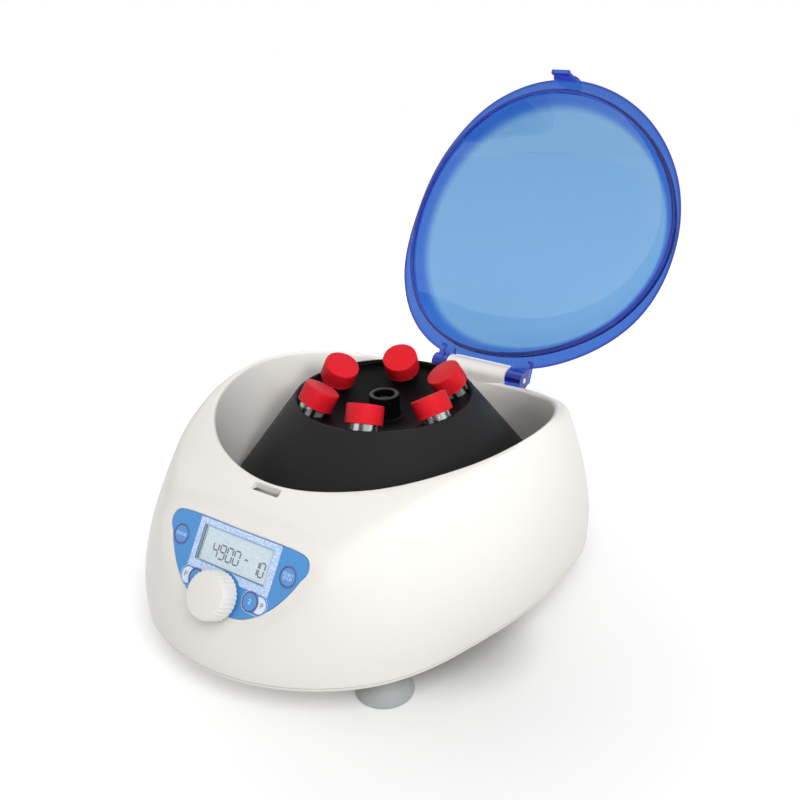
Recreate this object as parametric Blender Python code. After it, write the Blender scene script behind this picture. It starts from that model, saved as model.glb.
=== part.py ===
"""Low-speed bench centrifuge: a moulded housing with a tilted key panel, a fixed-angle
rotor with six capped tubes, and a clear domed lid that stands open on its hinge.

Run with: blender --background --python part.py
Lengths are in metres and +Z is up. The model is built round the rotor axis, with the
bench at height zero, and is moved at the end so that its box stands on the origin.
The front, with its panel, faces -Y.
"""
import math

import bmesh
import bpy
import numpy as np
from mathutils import Euler, Matrix, Vector

# Driving sizes of the whole machine
RIM_HEIGHT = 0.1067            # top edge of the rotor above the bench
FOOT_HEIGHT = 0.0150           # bench to the underside of the tray
OPENING_RADIUS = 0.0984        # round opening of the rotor bowl
NOSE_LENGTH = 0.0623           # how far the base reaches in front of the opening
LID_OPEN_ANGLE = math.radians(121.1)

# Fineness of round pieces
ROUND_STEPS = 20
BAR_STEPS = 24
SMALL_STEPS = 12
SCREW_STEPS = 8
FLOOR_STEPS = 28
SHARP_ANGLE = math.radians(35)

# Gaps and cutting allowances
CLEARANCE = 0.0003             # between pieces that touch
RUNNING_GAP = 0.0005           # round pieces that slide or turn
OVERRUN = 0.0040               # how far a cutter passes the face that it cuts

# Housing
WALL = 0.0025
LIP_ROUND = 0.0020             # rounding of the opening's edge
SHOULDER_ROUND = 0.0050        # rounding of the crease between top and side
BOWL_DRAFT = 0.0020            # the bowl narrows by this much towards its floor
HOLLOW_SEAM = 0.0012           # least width of the hollow beside the bowl
SHELL_HEIGHT = RIM_HEIGHT - FOOT_HEIGHT
AROUND_STEPS = 48
SKIN_POINTS = 12
HOLLOW_POINTS = 6
TOP_STEPS = 16                 # fineness of the curves from which the skin is sampled
SIDE_STEPS = 24
CORNER_STEPS = 4
CORNER_SHARE = 0.45            # most of the top's width that the crease may take
# Seven stations from front (first) to rear (last), the same on both sides
OPENING_DROP_SHARES = (0.147, 0.101, 0.027, 0.004, 0.084, 0.228, 0.299)
BASE_REACH_SHARES = (1.000, 0.836, 0.411, 0.266, 0.353, 0.334, 0.361)
SHOULDER_REACH_SHARES = (0.800, 0.455, 0.152, 0.056, 0.140, 0.215, 0.215)
SHOULDER_DROP_SHARES = (0.690, 0.230, 0.039, 0.016, 0.122, 0.275, 0.365)
CROWN_SHARES = (0.155, 0.090, 0.034, 0.014, 0.010, 0.020, 0.020)
WAIST_SHARES = (0.030, 0.090, 0.050, 0.015, 0.045, 0.025, 0.000)
BELLY_SHARES = (0.020, 0.010, 0.060, 0.060, 0.040, 0.085, 0.120)
THIRD_SHARE = 1 / 3

# Tray under the housing
TRAY_THICKNESS = 0.0020
TRAY_CHAMFER = 0.0010
TRAY_LIP_HEIGHT = 0.0045
TRAY_LIP_WALL = 0.0018
RIB_RADIUS = 0.0600            # ring that carries the chamber floor
RIB_WALL = 0.0020
VENT_LENGTH = 0.0240
VENT_WIDTH = 0.0030
VENT_PITCH = 0.0075
VENT_COUNT = 7
VENT_SETBACK = 0.0780          # vents behind the rotor axis

# Housing screws
BOSS_RADIUS = 0.0040
SCREW_RADIUS = 0.0015
SCREW_HEAD_RADIUS = 0.0030
SCREW_HEAD_HEIGHT = 0.0012
SCREW_LENGTH = 0.0140
FRONT_BOSS_ANGLE = math.radians(15)
REAR_BOSS_ANGLE = math.radians(150)
FRONT_BOSS_SHARE = 0.80        # share of the hollow's width, from the bowl outwards
REAR_BOSS_SHARE = 0.50

# Chamber floor and its tower
FLOOR_THICKNESS = 0.0020
FLOOR_HEIGHT = 0.0226          # upper face of the chamber floor above the bench
TOWER_RADIUS = 0.0355
TOWER_TOP_DEPTH = 0.0300       # top of the tower below the rotor rim
SEAL_RADIUS = 0.0100
SEAL_THICKNESS = 0.0030

# Rotor, depths below its rim
RIM_RADIUS = 0.0530
RIM_LAND = 0.0020
DISH_RADIUS = 0.0500
DISH_EDGE_DEPTH = 0.0015
DISH_DEPTH = 0.0140
CONE_ANGLE = math.radians(37)
ROTOR_RADIUS = 0.0918
ROTOR_DEPTH = 0.0805
ROTOR_EDGE = 0.0015
HUB_RADIUS = 0.0090
HUB_BORE = 0.0062
HUB_TOP_DEPTH = 0.0005
HUB_FILLET = 0.0020
HUB_CHAMFER = 0.0004
NUT_SEAT_DEPTH = 0.0100
WEB_DEPTH = 0.0240             # underside of the rotor's web
HOLLOW_TOP_RADIUS = 0.0370
HOLLOW_BOTTOM_RADIUS = 0.0710
ROTOR_STEPS = 32

# Rotor nut and shaft
SHAFT_RADIUS = 0.0040
SHAFT_TOP_DEPTH = 0.0035
NUT_ACROSS = 0.0100
NUT_HEIGHT = 0.0045
NUT_SIDES = 6

# Motor
MOTOR_RADIUS = 0.0270
MOTOR_HEIGHT = 0.0400
MOTOR_BOSS_RADIUS = 0.0110
MOTOR_BOSS_HEIGHT = 0.0030
MOTOR_ROUND = 0.0020
MOTOR_BORE_DEPTH = 0.0080
PLATE_RADIUS = 0.0310
PLATE_THICKNESS = 0.0020
DAMPER_RADIUS = 0.0040
DAMPER_CIRCLE = 0.0240
DAMPER_HEIGHT = 0.0035
DAMPER_COUNT = 3

# Tubes and caps
TUBE_COUNT = 6
TUBE_TILT = math.radians(30)
TUBE_PHASE = math.radians(20.5)
TUBE_RADIUS = 0.0080
TUBE_WALL = 0.0012
TUBE_GAP = 0.0005              # round a tube in its socket
TUBE_LENGTH = 0.0930           # mouth to tip
CAP_RADIUS = 0.0106
CAP_HEIGHT = 0.0125
CAP_TOP = 0.0018
CAP_CHAMFER = 0.0006
CAP_STEPS = 16
TIP_STEPS = 3
CAP_FACE_CIRCLE = 0.0357       # radius from the rotor axis to the middle of a cap's face
CAP_FACE_RISE = 0.0083         # height of that point above the rim
CAP_GAP = 0.0004

# Lid, modelled shut
LID_WALL = 0.0022
LID_GAP = 0.0005               # under the flange when the lid is shut
LID_CROWN_RISE = 0.0300        # top of the dome above the rotor rim
LID_LIP_DEPTH = 0.0027         # lip below the edge of the opening
LID_DOME_POWER_SHARE = 3.2
LID_STEPS = 40
LID_DOME_STEPS = 6
LID_FLANGE_REACH = 0.0054
LID_FLANGE_SHARES = (0.08, 0.25, 0.26, 0.37, 1.00, 1.00, 0.63)
LID_LIP_INSET = 0.0066
LID_LIP_SHARES = (0.71, 0.65, 0.53, 0.48, 0.66, 0.88, 1.00)

# Hinge
HINGE_SETBACK = 0.0069         # axis behind the opening's edge
HINGE_RISE = 0.0037            # axis above the rear of the opening's edge
BAR_RADIUS = 0.0070
BAR_HALF_LENGTH = 0.0225
KNUCKLE_RADIUS = 0.0060
KNUCKLE_WIDTH = 0.0115
GUSSET_WALL = 0.0022
GUSSET_REACH = 0.0150
PIN_RADIUS = 0.0018
PIN_DEPTH = 0.0120             # length of a pin inside the bar

# Hook on the lid and the slot that takes it
SLOT_SETBACK = 0.0049          # middle of the slot in front of the opening's edge
SLOT_WIDTH = 0.0187
SLOT_LENGTH = 0.0042
HOOK_WIDTH = 0.0165
HOOK_THICKNESS = 0.0020
HOOK_LENGTH = 0.0145           # leg below the flange
HOOK_BARB = 0.0010
HOOK_BARB_HEIGHT = 0.0025
HOOK_ROOT = 0.0080             # tongue over the flange

# Latch under the slot
PAWL_WIDTH = 0.0090
PAWL_SIZE = 0.0100             # pivot to nose; its outline follows this
PAWL_SHARES = ((-0.28, -0.20), (0.52, -0.20), (0.52, 0.12), (0.28, 0.30), (0.34, 0.79), (0.59, 0.79),
               (0.59, 1.00), (0.26, 1.03), (0.02, 0.75), (-0.28, 0.15))
PAWL_PIN_RADIUS = 0.0012
PAWL_SETBACK = 0.0052          # pivot in front of the barb's tip
PAWL_FREE_ANGLE = math.radians(14)
BRACKET_WALL = 0.0014
BRACKET_RISE = 0.0035          # cheeks above the pivot
BRACKET_DROP = 0.0120          # shelf below the pivot
BRACKET_DEPTH = 0.0120
SOLENOID_RADIUS = 0.0055
SOLENOID_HEIGHT = 0.0240
PLUNGER_RADIUS = 0.0020
PLUNGER_ARM = 0.0030           # plunger behind the pivot
PLUNGER_DROP = 0.0009          # room below the plunger for its travel
SWITCH_SIZE = (0.0060, 0.0100, 0.0060)

# Panel, a flat facet on the nose
PANEL_TILT = math.radians(56.7)
PANEL_REACH_SHARE = 0.517      # of the nose
PANEL_DROP_SHARE = 0.433       # of the shell's height
PANEL_HALF_WIDTH = 0.0474
PANEL_TOP = 0.0130
PANEL_BOTTOM = 0.0305
PANEL_POINTS_SHARES = ((0.00, 1.00), (0.45, 1.02), (0.80, 1.00), (0.95, 0.86), (1.00, 0.45),
                       (0.94, 0.00), (0.78, -0.43), (0.59, -0.73), (0.33, -0.95), (0.00, -1.00))
FACET_MARGIN_SHARE = 1.10
FACET_FADE_SHARE = 0.45
POCKET_DEPTH = 0.0009
FILM_THICKNESS = 0.0008
WINDOW_WIDTH = 0.0479
WINDOW_HEIGHT = 0.0184
WINDOW_THICKNESS = 0.0006
KEY_RADIUS = 0.0052
KEY_THICKNESS = 0.0005
KEY_PROUD = 0.0004
KEY_TRAVEL = 0.0004
KEY_STEM_RADIUS = 0.0018
KEY_STEPS = 14
KEY_PLACES = {"key_door": (-0.0375, -0.0003), "key_start_stop": (0.0368, -0.0003),
              "key_one": (-0.0188, -0.0186), "key_two": (0.0188, -0.0186)}

# Knob and encoder
KNOB_PLACE = -0.0219           # below the panel's middle
KNOB_RADIUS = 0.0127
KNOB_FACE_RADIUS = 0.0118
KNOB_FACE_HEIGHT = 0.0126      # above the panel
KNOB_BACK_HEIGHT = 0.0022
KNOB_RIBS = 32
KNOB_RIB_DEPTH = 0.0007
KNOB_BORE_DEPTH = 0.0080
ENCODER_SHAFT_RADIUS = 0.0030
ENCODER_BUSH_RADIUS = 0.0036
ENCODER_SIZE = 0.0120
ENCODER_TOP = 0.0010           # bush above the panel

# Boards behind the panel
BOARD_DEPTH = 0.0110           # front of the board behind the panel face
BOARD_THICKNESS = 0.0016
BOARD_HALF_WIDTH = 0.0450
BOARD_FOOT_HALF_WIDTH = 0.0290
BOARD_TOP = 0.0100
BOARD_KNEE = -0.0060
BOARD_BOTTOM = -0.0330
POST_RADIUS = 0.0022
POST_PLACES = ((-0.0415, 0.0070), (0.0415, 0.0070), (-0.0240, -0.0300), (0.0240, -0.0300))
MODULE_WIDTH = 0.0560
MODULE_HEIGHT = 0.0250
MODULE_STEP = 0.0020           # the wider rim of the display module
MODULE_STEP_DEPTH = 0.0068
SWITCH_RADIUS = 0.0030

# Power board on the tray
POWER_BOARD_SIZE = (0.0800, 0.0260, 0.0016)
POWER_BOARD_REACH = 0.1180     # its middle in front of the rotor axis
STAND_HEIGHT = 0.0030
STAND_RADIUS = 0.0030
TRANSFORMER_SIZE = (0.0220, 0.0180, 0.0140)
CAPACITOR_RADIUS = 0.0055
CAPACITOR_HEIGHT = 0.0130
CAPACITOR_SHARES = (0.06, 0.24)  # places along the board

# Rear inlet and switch
REAR_FACE_SHARE = 0.70         # flat face between opening and base reach
REAR_FACE_WIDTH = 0.0530
REAR_FACE_LOW = 0.0255
REAR_FACE_HEIGHT = 0.0265
REAR_PAD = 0.0030              # wall behind the flat face
REAR_PAD_STEPS = 9
INLET_PLACE = 0.0090
INLET_FLANGE = (0.0300, 0.0240, 0.0016)
INLET_BODY = (0.0265, 0.0195, 0.0140)
INLET_CAVITY = (0.0230, 0.0160, 0.0130)
INLET_PIN = (0.0020, 0.0036, 0.0100)
INLET_PIN_SPREAD = 0.0070
INLET_PIN_RISE = 0.0045        # earth pin above the other two
ROCKER_PLACE = -0.0155
ROCKER_FRAME = (0.0160, 0.0240, 0.0016)
ROCKER_BODY = (0.0130, 0.0200, 0.0120)
ROCKER_WELL = (0.0106, 0.0176, 0.0080)
ROCKER_WIDTH = 0.0100
ROCKER_HALF_LENGTH = 0.0080
ROCKER_THICKNESS = 0.0030
ROCKER_LIFT = 0.0012           # pivot above the flat face
ROCKER_PIN_RADIUS = 0.0010
ROCKER_TILT = math.radians(9)

# Feet
FOOT_RADIUS = 0.0152
FOOT_NECK = 0.0062
FOOT_STEPS = 14
FOOT_DISH_SHARE = 0.30
# Cup outline from neck to inner lip: share of the radius (0 keeps the neck) and of the height
FOOT_SHARES = ((0, 1.00), (0, 0.72), (0.70, 0.50), (0.93, 0.20), (1.00, 0.06), (1.00, 0.00), (0.90, 0.00),
               (0.62, 0.22))
FOOT_REACH = 0.1080            # front feet in front of the rotor axis
REAR_FOOT_REACH = 0.0700
FOOT_SPREAD = 0.0750
REAR_FOOT_SPREAD = 0.0720
STUD_RADIUS = 0.0020
STUD_HEAD_RADIUS = 0.0040
STUD_HEAD_HEIGHT = 0.0025
STUD_DEPTH = 0.0060

# Heights and places that follow
TRAY_TOP = FOOT_HEIGHT + TRAY_THICKNESS
BASE_HEIGHT = TRAY_TOP + CLEARANCE
HINGE_Y = OPENING_RADIUS + HINGE_SETBACK
HINGE_Z = RIM_HEIGHT - SHELL_HEIGHT * OPENING_DROP_SHARES[-1] + HINGE_RISE
FLOOR_UNDERSIDE = FLOOR_HEIGHT - FLOOR_THICKNESS
REAR_FACE_Y = OPENING_RADIUS + REAR_FACE_SHARE * NOSE_LENGTH * BASE_REACH_SHARES[-1]
PANEL_CENTRE = Vector((0, -OPENING_RADIUS - PANEL_REACH_SHARE * NOSE_LENGTH,
                       RIM_HEIGHT - PANEL_DROP_SHARE * SHELL_HEIGHT))
PANEL_FRAME = Matrix.Translation(PANEL_CENTRE) @ Matrix.Rotation(PANEL_TILT, 4, "X")
HOUSING_COLOUR = (0.87, 0.87, 0.84)
ROOTS = []


# Scene, materials and plain mesh helpers

def clear_scene():
    for item in list(bpy.data.objects):
        bpy.data.objects.remove(item, do_unlink=True)


def finish_material(name, colour, roughness, metallic):
    made = bpy.data.materials.new(name)
    made.use_nodes = True
    shader = made.node_tree.nodes["Principled BSDF"]
    shader.inputs["Base Color"].default_value = (*colour, 1)
    shader.inputs["Roughness"].default_value = roughness
    shader.inputs["Metallic"].default_value = metallic
    made.diffuse_color = (*colour, 1)
    return made


def add_piece(name, mesh_maker, colour=HOUSING_COLOUR, roughness=0.5, metallic=0.0, parent=None,
              location=(0, 0, 0), rotation=(0, 0, 0)):
    """Make one named piece from a bmesh, or from a mesh that another piece already has."""
    if isinstance(mesh_maker, bpy.types.Mesh):
        mesh = mesh_maker
    else:
        bmesh.ops.recalc_face_normals(mesh_maker, faces=mesh_maker.faces)
        mesh = bpy.data.meshes.new(name)
        mesh_maker.to_mesh(mesh)
        mesh_maker.free()
        mesh.shade_smooth()
        mesh.set_sharp_from_angle(angle=SHARP_ANGLE)
        mesh.materials.append(finish_material(name, colour, roughness, metallic))
    piece = bpy.data.objects.new(name, mesh)
    bpy.context.scene.collection.objects.link(piece)
    piece.location = location
    piece.rotation_euler = rotation
    piece.parent = parent
    if parent is None:
        ROOTS.append(piece)
    return piece


def add_frame(name, location, rotation=(0, 0, 0), parent=None):
    empty = bpy.data.objects.new(name, None)
    bpy.context.scene.collection.objects.link(empty)
    empty.location = location
    empty.rotation_euler = rotation
    empty.parent = parent
    if parent is None:
        ROOTS.append(empty)
    return empty


def shape(piece, operation, other_mesh):
    """Cut a helper shape from a piece, or join it, with a Boolean modifier."""
    helper = add_piece(f"{piece.name}_{operation.lower()}", other_mesh, parent=piece)
    helper.hide_render = True
    helper.display_type = "WIRE"
    modifier = piece.modifiers.new(helper.name, "BOOLEAN")
    modifier.operation = operation
    modifier.object = helper
    modifier.use_self = True
    return helper


def move_mesh(mesh, location=(0, 0, 0), rotation=(0, 0, 0)):
    placed = Matrix.Translation(Vector(location)) @ Euler(rotation).to_matrix().to_4x4()
    bmesh.ops.transform(mesh, matrix=placed, verts=mesh.verts)
    return mesh


def merge_meshes(*meshes):
    """Put several closed shapes in one bmesh, as separate shells."""
    whole = bmesh.new()
    for mesh in meshes:
        bmesh.ops.recalc_face_normals(mesh, faces=mesh.faces)
        holder = bpy.data.meshes.new("holder")
        mesh.to_mesh(holder)
        mesh.free()
        whole.from_mesh(holder)
        bpy.data.meshes.remove(holder)
    return whole


def block(size, centre=(0, 0, 0)):
    mesh = bmesh.new()
    bmesh.ops.create_cube(mesh, size=1)
    bmesh.ops.scale(mesh, vec=Vector(size), verts=mesh.verts)
    return move_mesh(mesh, centre)


def rod(radius, low, high, steps=BAR_STEPS, centre=(0, 0, 0), rotation=(0, 0, 0)):
    """Round bar along Z between two heights, then turned and moved."""
    mesh = bmesh.new()
    bmesh.ops.create_cone(mesh, cap_ends=True, segments=steps, radius1=radius, radius2=radius,
                          depth=high - low)
    move_mesh(mesh, (0, 0, (low + high) / 2))
    return move_mesh(mesh, centre, rotation)


def turned(profile, steps):
    """Turn an outline of (radius, height) points about Z. Points on the axis close the shape."""
    rings = []
    for step in range(steps):
        angle = 2 * math.pi * step / steps
        rings.append([Vector((r * math.cos(angle), r * math.sin(angle), z)) for r, z in profile])
    on_axis = profile[0][0] == 0 and profile[-1][0] == 0
    return loft(rings, closed_section=not on_axis, poles=on_axis)


def loft(rings, closed_section, poles=False):
    """Bridge sections that stand round an axis. With poles, first and last points are shared."""
    mesh = bmesh.new()
    count = len(rings[0])
    if poles:
        ends = {0: mesh.verts.new(rings[0][0]), count - 1: mesh.verts.new(rings[0][-1])}
        sections = [[ends.get(i) or mesh.verts.new(point) for i, point in enumerate(ring)] for ring in rings]
    else:
        sections = [[mesh.verts.new(point) for point in ring] for ring in rings]
    last = count if closed_section else count - 1
    for index, section in enumerate(sections):
        following = sections[(index + 1) % len(sections)]
        for i in range(last):
            j = (i + 1) % count
            corners = [section[i], section[j], following[j], following[i]]
            unique = list(dict.fromkeys(corners))
            mesh.faces.new(unique)
    return mesh


def prism(outline, low, high):
    """Extrude a flat outline of (x, y) points between two heights."""
    mesh = bmesh.new()
    face = mesh.faces.new([mesh.verts.new((x, y, low)) for x, y in outline])
    made = bmesh.ops.extrude_face_region(mesh, geom=[face])
    top = [item for item in made["geom"] if isinstance(item, bmesh.types.BMVert)]
    bmesh.ops.translate(mesh, verts=top, vec=(0, 0, high - low))
    return mesh


# Curves

def spline(points, place):
    """Catmull-Rom curve through points, mirrored past both ends."""
    last = len(points) - 1
    index = min(int(place), last - 1)
    ease = place - index
    before, start, end, after = [np.array(points[mirror_index(index + k, last)], float) for k in (-1, 0, 1, 2)]
    return 0.5 * (2 * start + (end - before) * ease
                  + (2 * before - 5 * start + 4 * end - after) * ease ** 2
                  + (3 * start - before - 3 * end + after) * ease ** 3)


def mirror_index(index, last):
    index = abs(index)
    return 2 * last - index if index > last else index


def around(shares, angle):
    """Value of a table of stations at an angle from the front."""
    turn = abs(math.remainder(angle, 2 * math.pi)) / math.pi
    return float(spline(shares, turn * (len(shares) - 1)))


def bezier(points, steps):
    """Points along a quadratic or cubic Bezier curve."""
    curve = []
    for step in range(steps + 1):
        t = step / steps
        level = [np.array(point, float) for point in points]
        while len(level) > 1:
            level = [a * (1 - t) + b * t for a, b in zip(level, level[1:])]
        curve.append(level[0])
    return curve


def lengths_along(path):
    steps = np.linalg.norm(np.diff(path, axis=0), axis=1)
    return np.concatenate([[0], np.cumsum(steps)])


def evenly(path, count):
    """The same path with a set number of points, evenly spaced."""
    path = np.array(path)
    run = lengths_along(path)
    places = np.linspace(0, run[-1], count)
    return np.stack([np.interp(places, run, path[:, k]) for k in range(2)], axis=1)


def stretch(path, start, end, count):
    """Part of a path between two lengths along it."""
    path = np.array(path)
    run = lengths_along(path)
    places = np.linspace(start, end, count)
    return np.stack([np.interp(places, run, path[:, k]) for k in range(2)], axis=1)


def offset_inwards(path, distance):
    """Shift a path that climbs from the base over the top towards the axis, to its inner side."""
    path = np.array(path)
    along = np.gradient(path, axis=0)
    along /= np.linalg.norm(along, axis=1, keepdims=True)
    return path + distance * np.stack([-along[:, 1], along[:, 0]], axis=1)


# Housing sections: everything is a function of the angle from the front

def opening_edge(angle):
    return RIM_HEIGHT - SHELL_HEIGHT * around(OPENING_DROP_SHARES, angle)


def base_reach(angle):
    return OPENING_RADIUS + NOSE_LENGTH * around(BASE_REACH_SHARES, angle)


def bowl_radius(height):
    """Inner radius of the bowl wall, with its draft."""
    depth = (RIM_HEIGHT - height) / (RIM_HEIGHT - FLOOR_HEIGHT)
    return OPENING_RADIUS - BOWL_DRAFT * max(depth, 0)


def outer_path(angle):
    """Outer skin in one upright plane, from the base edge over the shoulder to the opening."""
    opening = np.array((OPENING_RADIUS + LIP_ROUND, opening_edge(angle)))
    shoulder = np.array((OPENING_RADIUS + NOSE_LENGTH * around(SHOULDER_REACH_SHARES, angle),
                         RIM_HEIGHT - SHELL_HEIGHT * around(SHOULDER_DROP_SHARES, angle)))
    base = np.array((base_reach(angle), BASE_HEIGHT))
    across = shoulder - opening
    crown = (opening + shoulder) / 2 + around(CROWN_SHARES, angle) * np.array((-across[1], across[0]))
    height = shoulder[1] - base[1]
    waist = shoulder + np.array(((base[0] - shoulder[0]) * THIRD_SHARE + around(WAIST_SHARES, angle) * height,
                                 -THIRD_SHARE * height))
    belly = base + np.array((around(BELLY_SHARES, angle) * height, THIRD_SHARE * height))
    top = np.array(bezier((opening, crown, shoulder), TOP_STEPS))
    side = np.array(bezier((base, belly, waist, shoulder), SIDE_STEPS))
    top_run = lengths_along(top)[-1]
    side_run = lengths_along(side)[-1]
    corner = min(SHOULDER_ROUND, CORNER_SHARE * top_run)
    side_part = stretch(side, 0, side_run - SHOULDER_ROUND, SIDE_STEPS)
    top_part = stretch(top, 0, top_run - corner, TOP_STEPS)[::-1]
    rounding = bezier((side_part[-1], shoulder, top_part[0]), CORNER_STEPS)
    return np.concatenate([side_part, rounding[1:-1], top_part])


def hollow_path(outer):
    """Inner side of the skin from the base edge up to where it meets the back of the bowl wall."""
    inner = offset_inwards(outer, WALL)
    inner[0, 1] = BASE_HEIGHT
    limit = [bowl_radius(z) + WALL + HOLLOW_SEAM for _, z in inner]
    keep = 1
    while keep < len(inner) and inner[keep, 0] > limit[keep]:
        keep += 1
    return inner[:keep]


def upright(angle, point):
    """Point of a section, placed in the round."""
    radius, height = point
    return Vector((radius * math.sin(angle), -radius * math.cos(angle), height))


def pressed(angle, point, depth=0.0):
    """The same, pressed flat where the panel lies."""
    place = upright(angle, point)
    local = PANEL_FRAME.inverted() @ place
    fade = facet_weight(local.x, local.y)
    if place.y < 0 and fade > 0:
        local.z += fade * (-depth - local.z)
        place = PANEL_FRAME @ local
    return place


def facet_weight(across, along):
    """1 over the panel, easing to 0 a little way outside its outline."""
    narrow = min(max((PANEL_TOP - along) / (PANEL_TOP + PANEL_BOTTOM), 0), 1)
    half_width = PANEL_HALF_WIDTH * (1 - narrow ** 2 / 2)
    middle = (PANEL_TOP - PANEL_BOTTOM) / 2
    half_height = (PANEL_TOP + PANEL_BOTTOM) / 2
    reach = ((across / half_width) ** 4 + ((along - middle) / half_height) ** 4) ** 0.25
    share = (FACET_MARGIN_SHARE + FACET_FADE_SHARE - reach) / FACET_FADE_SHARE
    share = min(max(share, 0), 1)
    return share * share * (3 - 2 * share)


def housing_section(angle):
    """One closed section: skin, rounded lip, bowl wall, back of the bowl wall and hollow."""
    outer = outer_path(angle)
    hollow = evenly(hollow_path(outer), HOLLOW_POINTS)
    skin = evenly(outer, SKIN_POINTS)
    edge = opening_edge(angle)
    section = [pressed(angle, point) for point in skin]
    for turn in (math.radians(30), math.radians(60), math.radians(90)):
        section.append(upright(angle, (OPENING_RADIUS + LIP_ROUND * (1 - math.sin(turn)),
                                       edge - LIP_ROUND * (1 - math.cos(turn)))))
    floor = FLOOR_HEIGHT + CLEARANCE
    top = hollow[-1][1]
    back = [(bowl_radius(floor), floor), (bowl_radius(floor) + WALL, floor), (bowl_radius(top) + WALL, top)]
    section += [upright(angle, point) for point in back]
    section += [pressed(angle, point, WALL) for point in hollow[::-1]]
    return section


def surface_height(setback):
    """Height of the skin on the centre line, at a distance in front of the opening's edge."""
    path = outer_path(0)
    return float(np.interp(OPENING_RADIUS + setback, path[::-1, 0], path[::-1, 1]))


def boss_places():
    """Angle, radius and top height of the four bosses that take the housing screws."""
    places = []
    for angle, share in ((FRONT_BOSS_ANGLE, FRONT_BOSS_SHARE), (REAR_BOSS_ANGLE, REAR_BOSS_SHARE)):
        back = bowl_radius(FLOOR_HEIGHT) + WALL
        radius = back + share * (base_reach(angle) - WALL - back)
        inner = hollow_path(outer_path(angle))
        top = float(np.interp(-radius - BOSS_RADIUS, -inner[:, 0], inner[:, 1])) + WALL / 2
        places += [(angle, radius, top), (-angle, radius, top)]
    return places


def panel_outline(inset=0.0):
    """Shield outline of the key film, in panel coordinates, drawn in by a margin."""
    right = []
    last = len(PANEL_POINTS_SHARES) - 1
    for step in range(last + 1):
        across, along = spline(PANEL_POINTS_SHARES, step)
        reach = PANEL_TOP if along > 0 else PANEL_BOTTOM
        right.append(((PANEL_HALF_WIDTH - inset) * across, (reach - inset) * along))
    left = [(-x, y) for x, y in right[-2:0:-1]]
    return right + left


def bar_outline(radius, foot):
    """Upright section of the hinge bar: round over the axis, straight down to its foot."""
    points = [(HINGE_Y + radius * math.cos(turn), HINGE_Z + radius * math.sin(turn))
              for turn in np.linspace(0, math.pi, 9)]
    return points + [(HINGE_Y - radius, foot), (HINGE_Y + radius, foot)]


def prism_along_x(outline, low, high):
    """Extrude a section of (y, z) points sideways."""
    mesh = prism([(y, z) for y, z in outline], low, high)
    turn = Matrix(((0, 0, 1, 0), (1, 0, 0, 0), (0, 1, 0, 0), (0, 0, 0, 1)))
    bmesh.ops.transform(mesh, matrix=turn, verts=mesh.verts)
    return mesh


def along_x(radius, low, high, y, z, steps=BAR_STEPS):
    """Round bar along X."""
    mesh = rod(radius, low, high, steps)
    return move_mesh(mesh, (0, y, z), (0, math.pi / 2, 0))


def housing_additions():
    """Hinge bar, screw bosses, board posts and the pad behind the inlet."""
    shapes = [prism_along_x(bar_outline(BAR_RADIUS, HINGE_Z - BAR_RADIUS - WALL),
                            -BAR_HALF_LENGTH, BAR_HALF_LENGTH)]
    for angle, radius, top in boss_places():
        place = upright(angle, (radius, 0))
        shapes.append(rod(BOSS_RADIUS, BASE_HEIGHT, top, SMALL_STEPS, place))
    for x, y in POST_PLACES:
        post = rod(POST_RADIUS, -BOARD_DEPTH + CLEARANCE, -WALL / 2, SMALL_STEPS, (x, y, 0))
        bmesh.ops.transform(post, matrix=PANEL_FRAME, verts=post.verts)
        shapes.append(post)
    return merge_meshes(rear_lining(), *shapes)


def rear_lining():
    """Solid behind the skin at the rear, out of which the flat face and its sides are cut."""
    low = REAR_FACE_LOW - REAR_PAD / 2
    high = REAR_FACE_LOW + REAR_FACE_HEIGHT + REAR_PAD / 2
    limit = math.atan2(REAR_FACE_WIDTH / 2 + REAR_PAD / 2, REAR_FACE_Y)
    sections = []
    for angle in np.linspace(math.pi - limit, math.pi + limit, REAR_PAD_STEPS):
        skin = outer_path(angle)
        inner = (REAR_FACE_Y - REAR_PAD) / abs(math.cos(angle))
        heights = np.linspace(low, high, 4)
        radii = np.interp(heights, skin[:, 1], skin[:, 0]) - WALL / 2
        section = [(inner, low), *zip(radii, heights), (inner, high)]
        sections.append([upright(angle, point) for point in section])
    mesh = bmesh.new()
    rows = [[mesh.verts.new(point) for point in section] for section in sections]
    for row, following in zip(rows, rows[1:]):
        for i in range(len(row)):
            j = (i + 1) % len(row)
            mesh.faces.new((row[i], row[j], following[j], following[i]))
    mesh.faces.new(rows[0])
    mesh.faces.new(rows[-1])
    return mesh


def panel_cutters():
    """Pocket for the film, window and holes for the key stems and the encoder."""
    shapes = [prism(panel_outline(), -POCKET_DEPTH, OVERRUN)]
    shapes.append(block((MODULE_WIDTH + CLEARANCE, MODULE_HEIGHT + CLEARANCE,
                         MODULE_STEP_DEPTH + MODULE_STEP_DEPTH)))
    for x, y in KEY_PLACES.values():
        shapes.append(rod(KEY_STEM_RADIUS + CLEARANCE, -OVERRUN, OVERRUN, SMALL_STEPS, (x, y, 0)))
    shapes.append(rod(ENCODER_BUSH_RADIUS + CLEARANCE, -OVERRUN, OVERRUN, ROUND_STEPS, (0, KNOB_PLACE, 0)))
    for mesh in shapes:
        bmesh.ops.transform(mesh, matrix=PANEL_FRAME, verts=mesh.verts)
    return shapes


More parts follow.
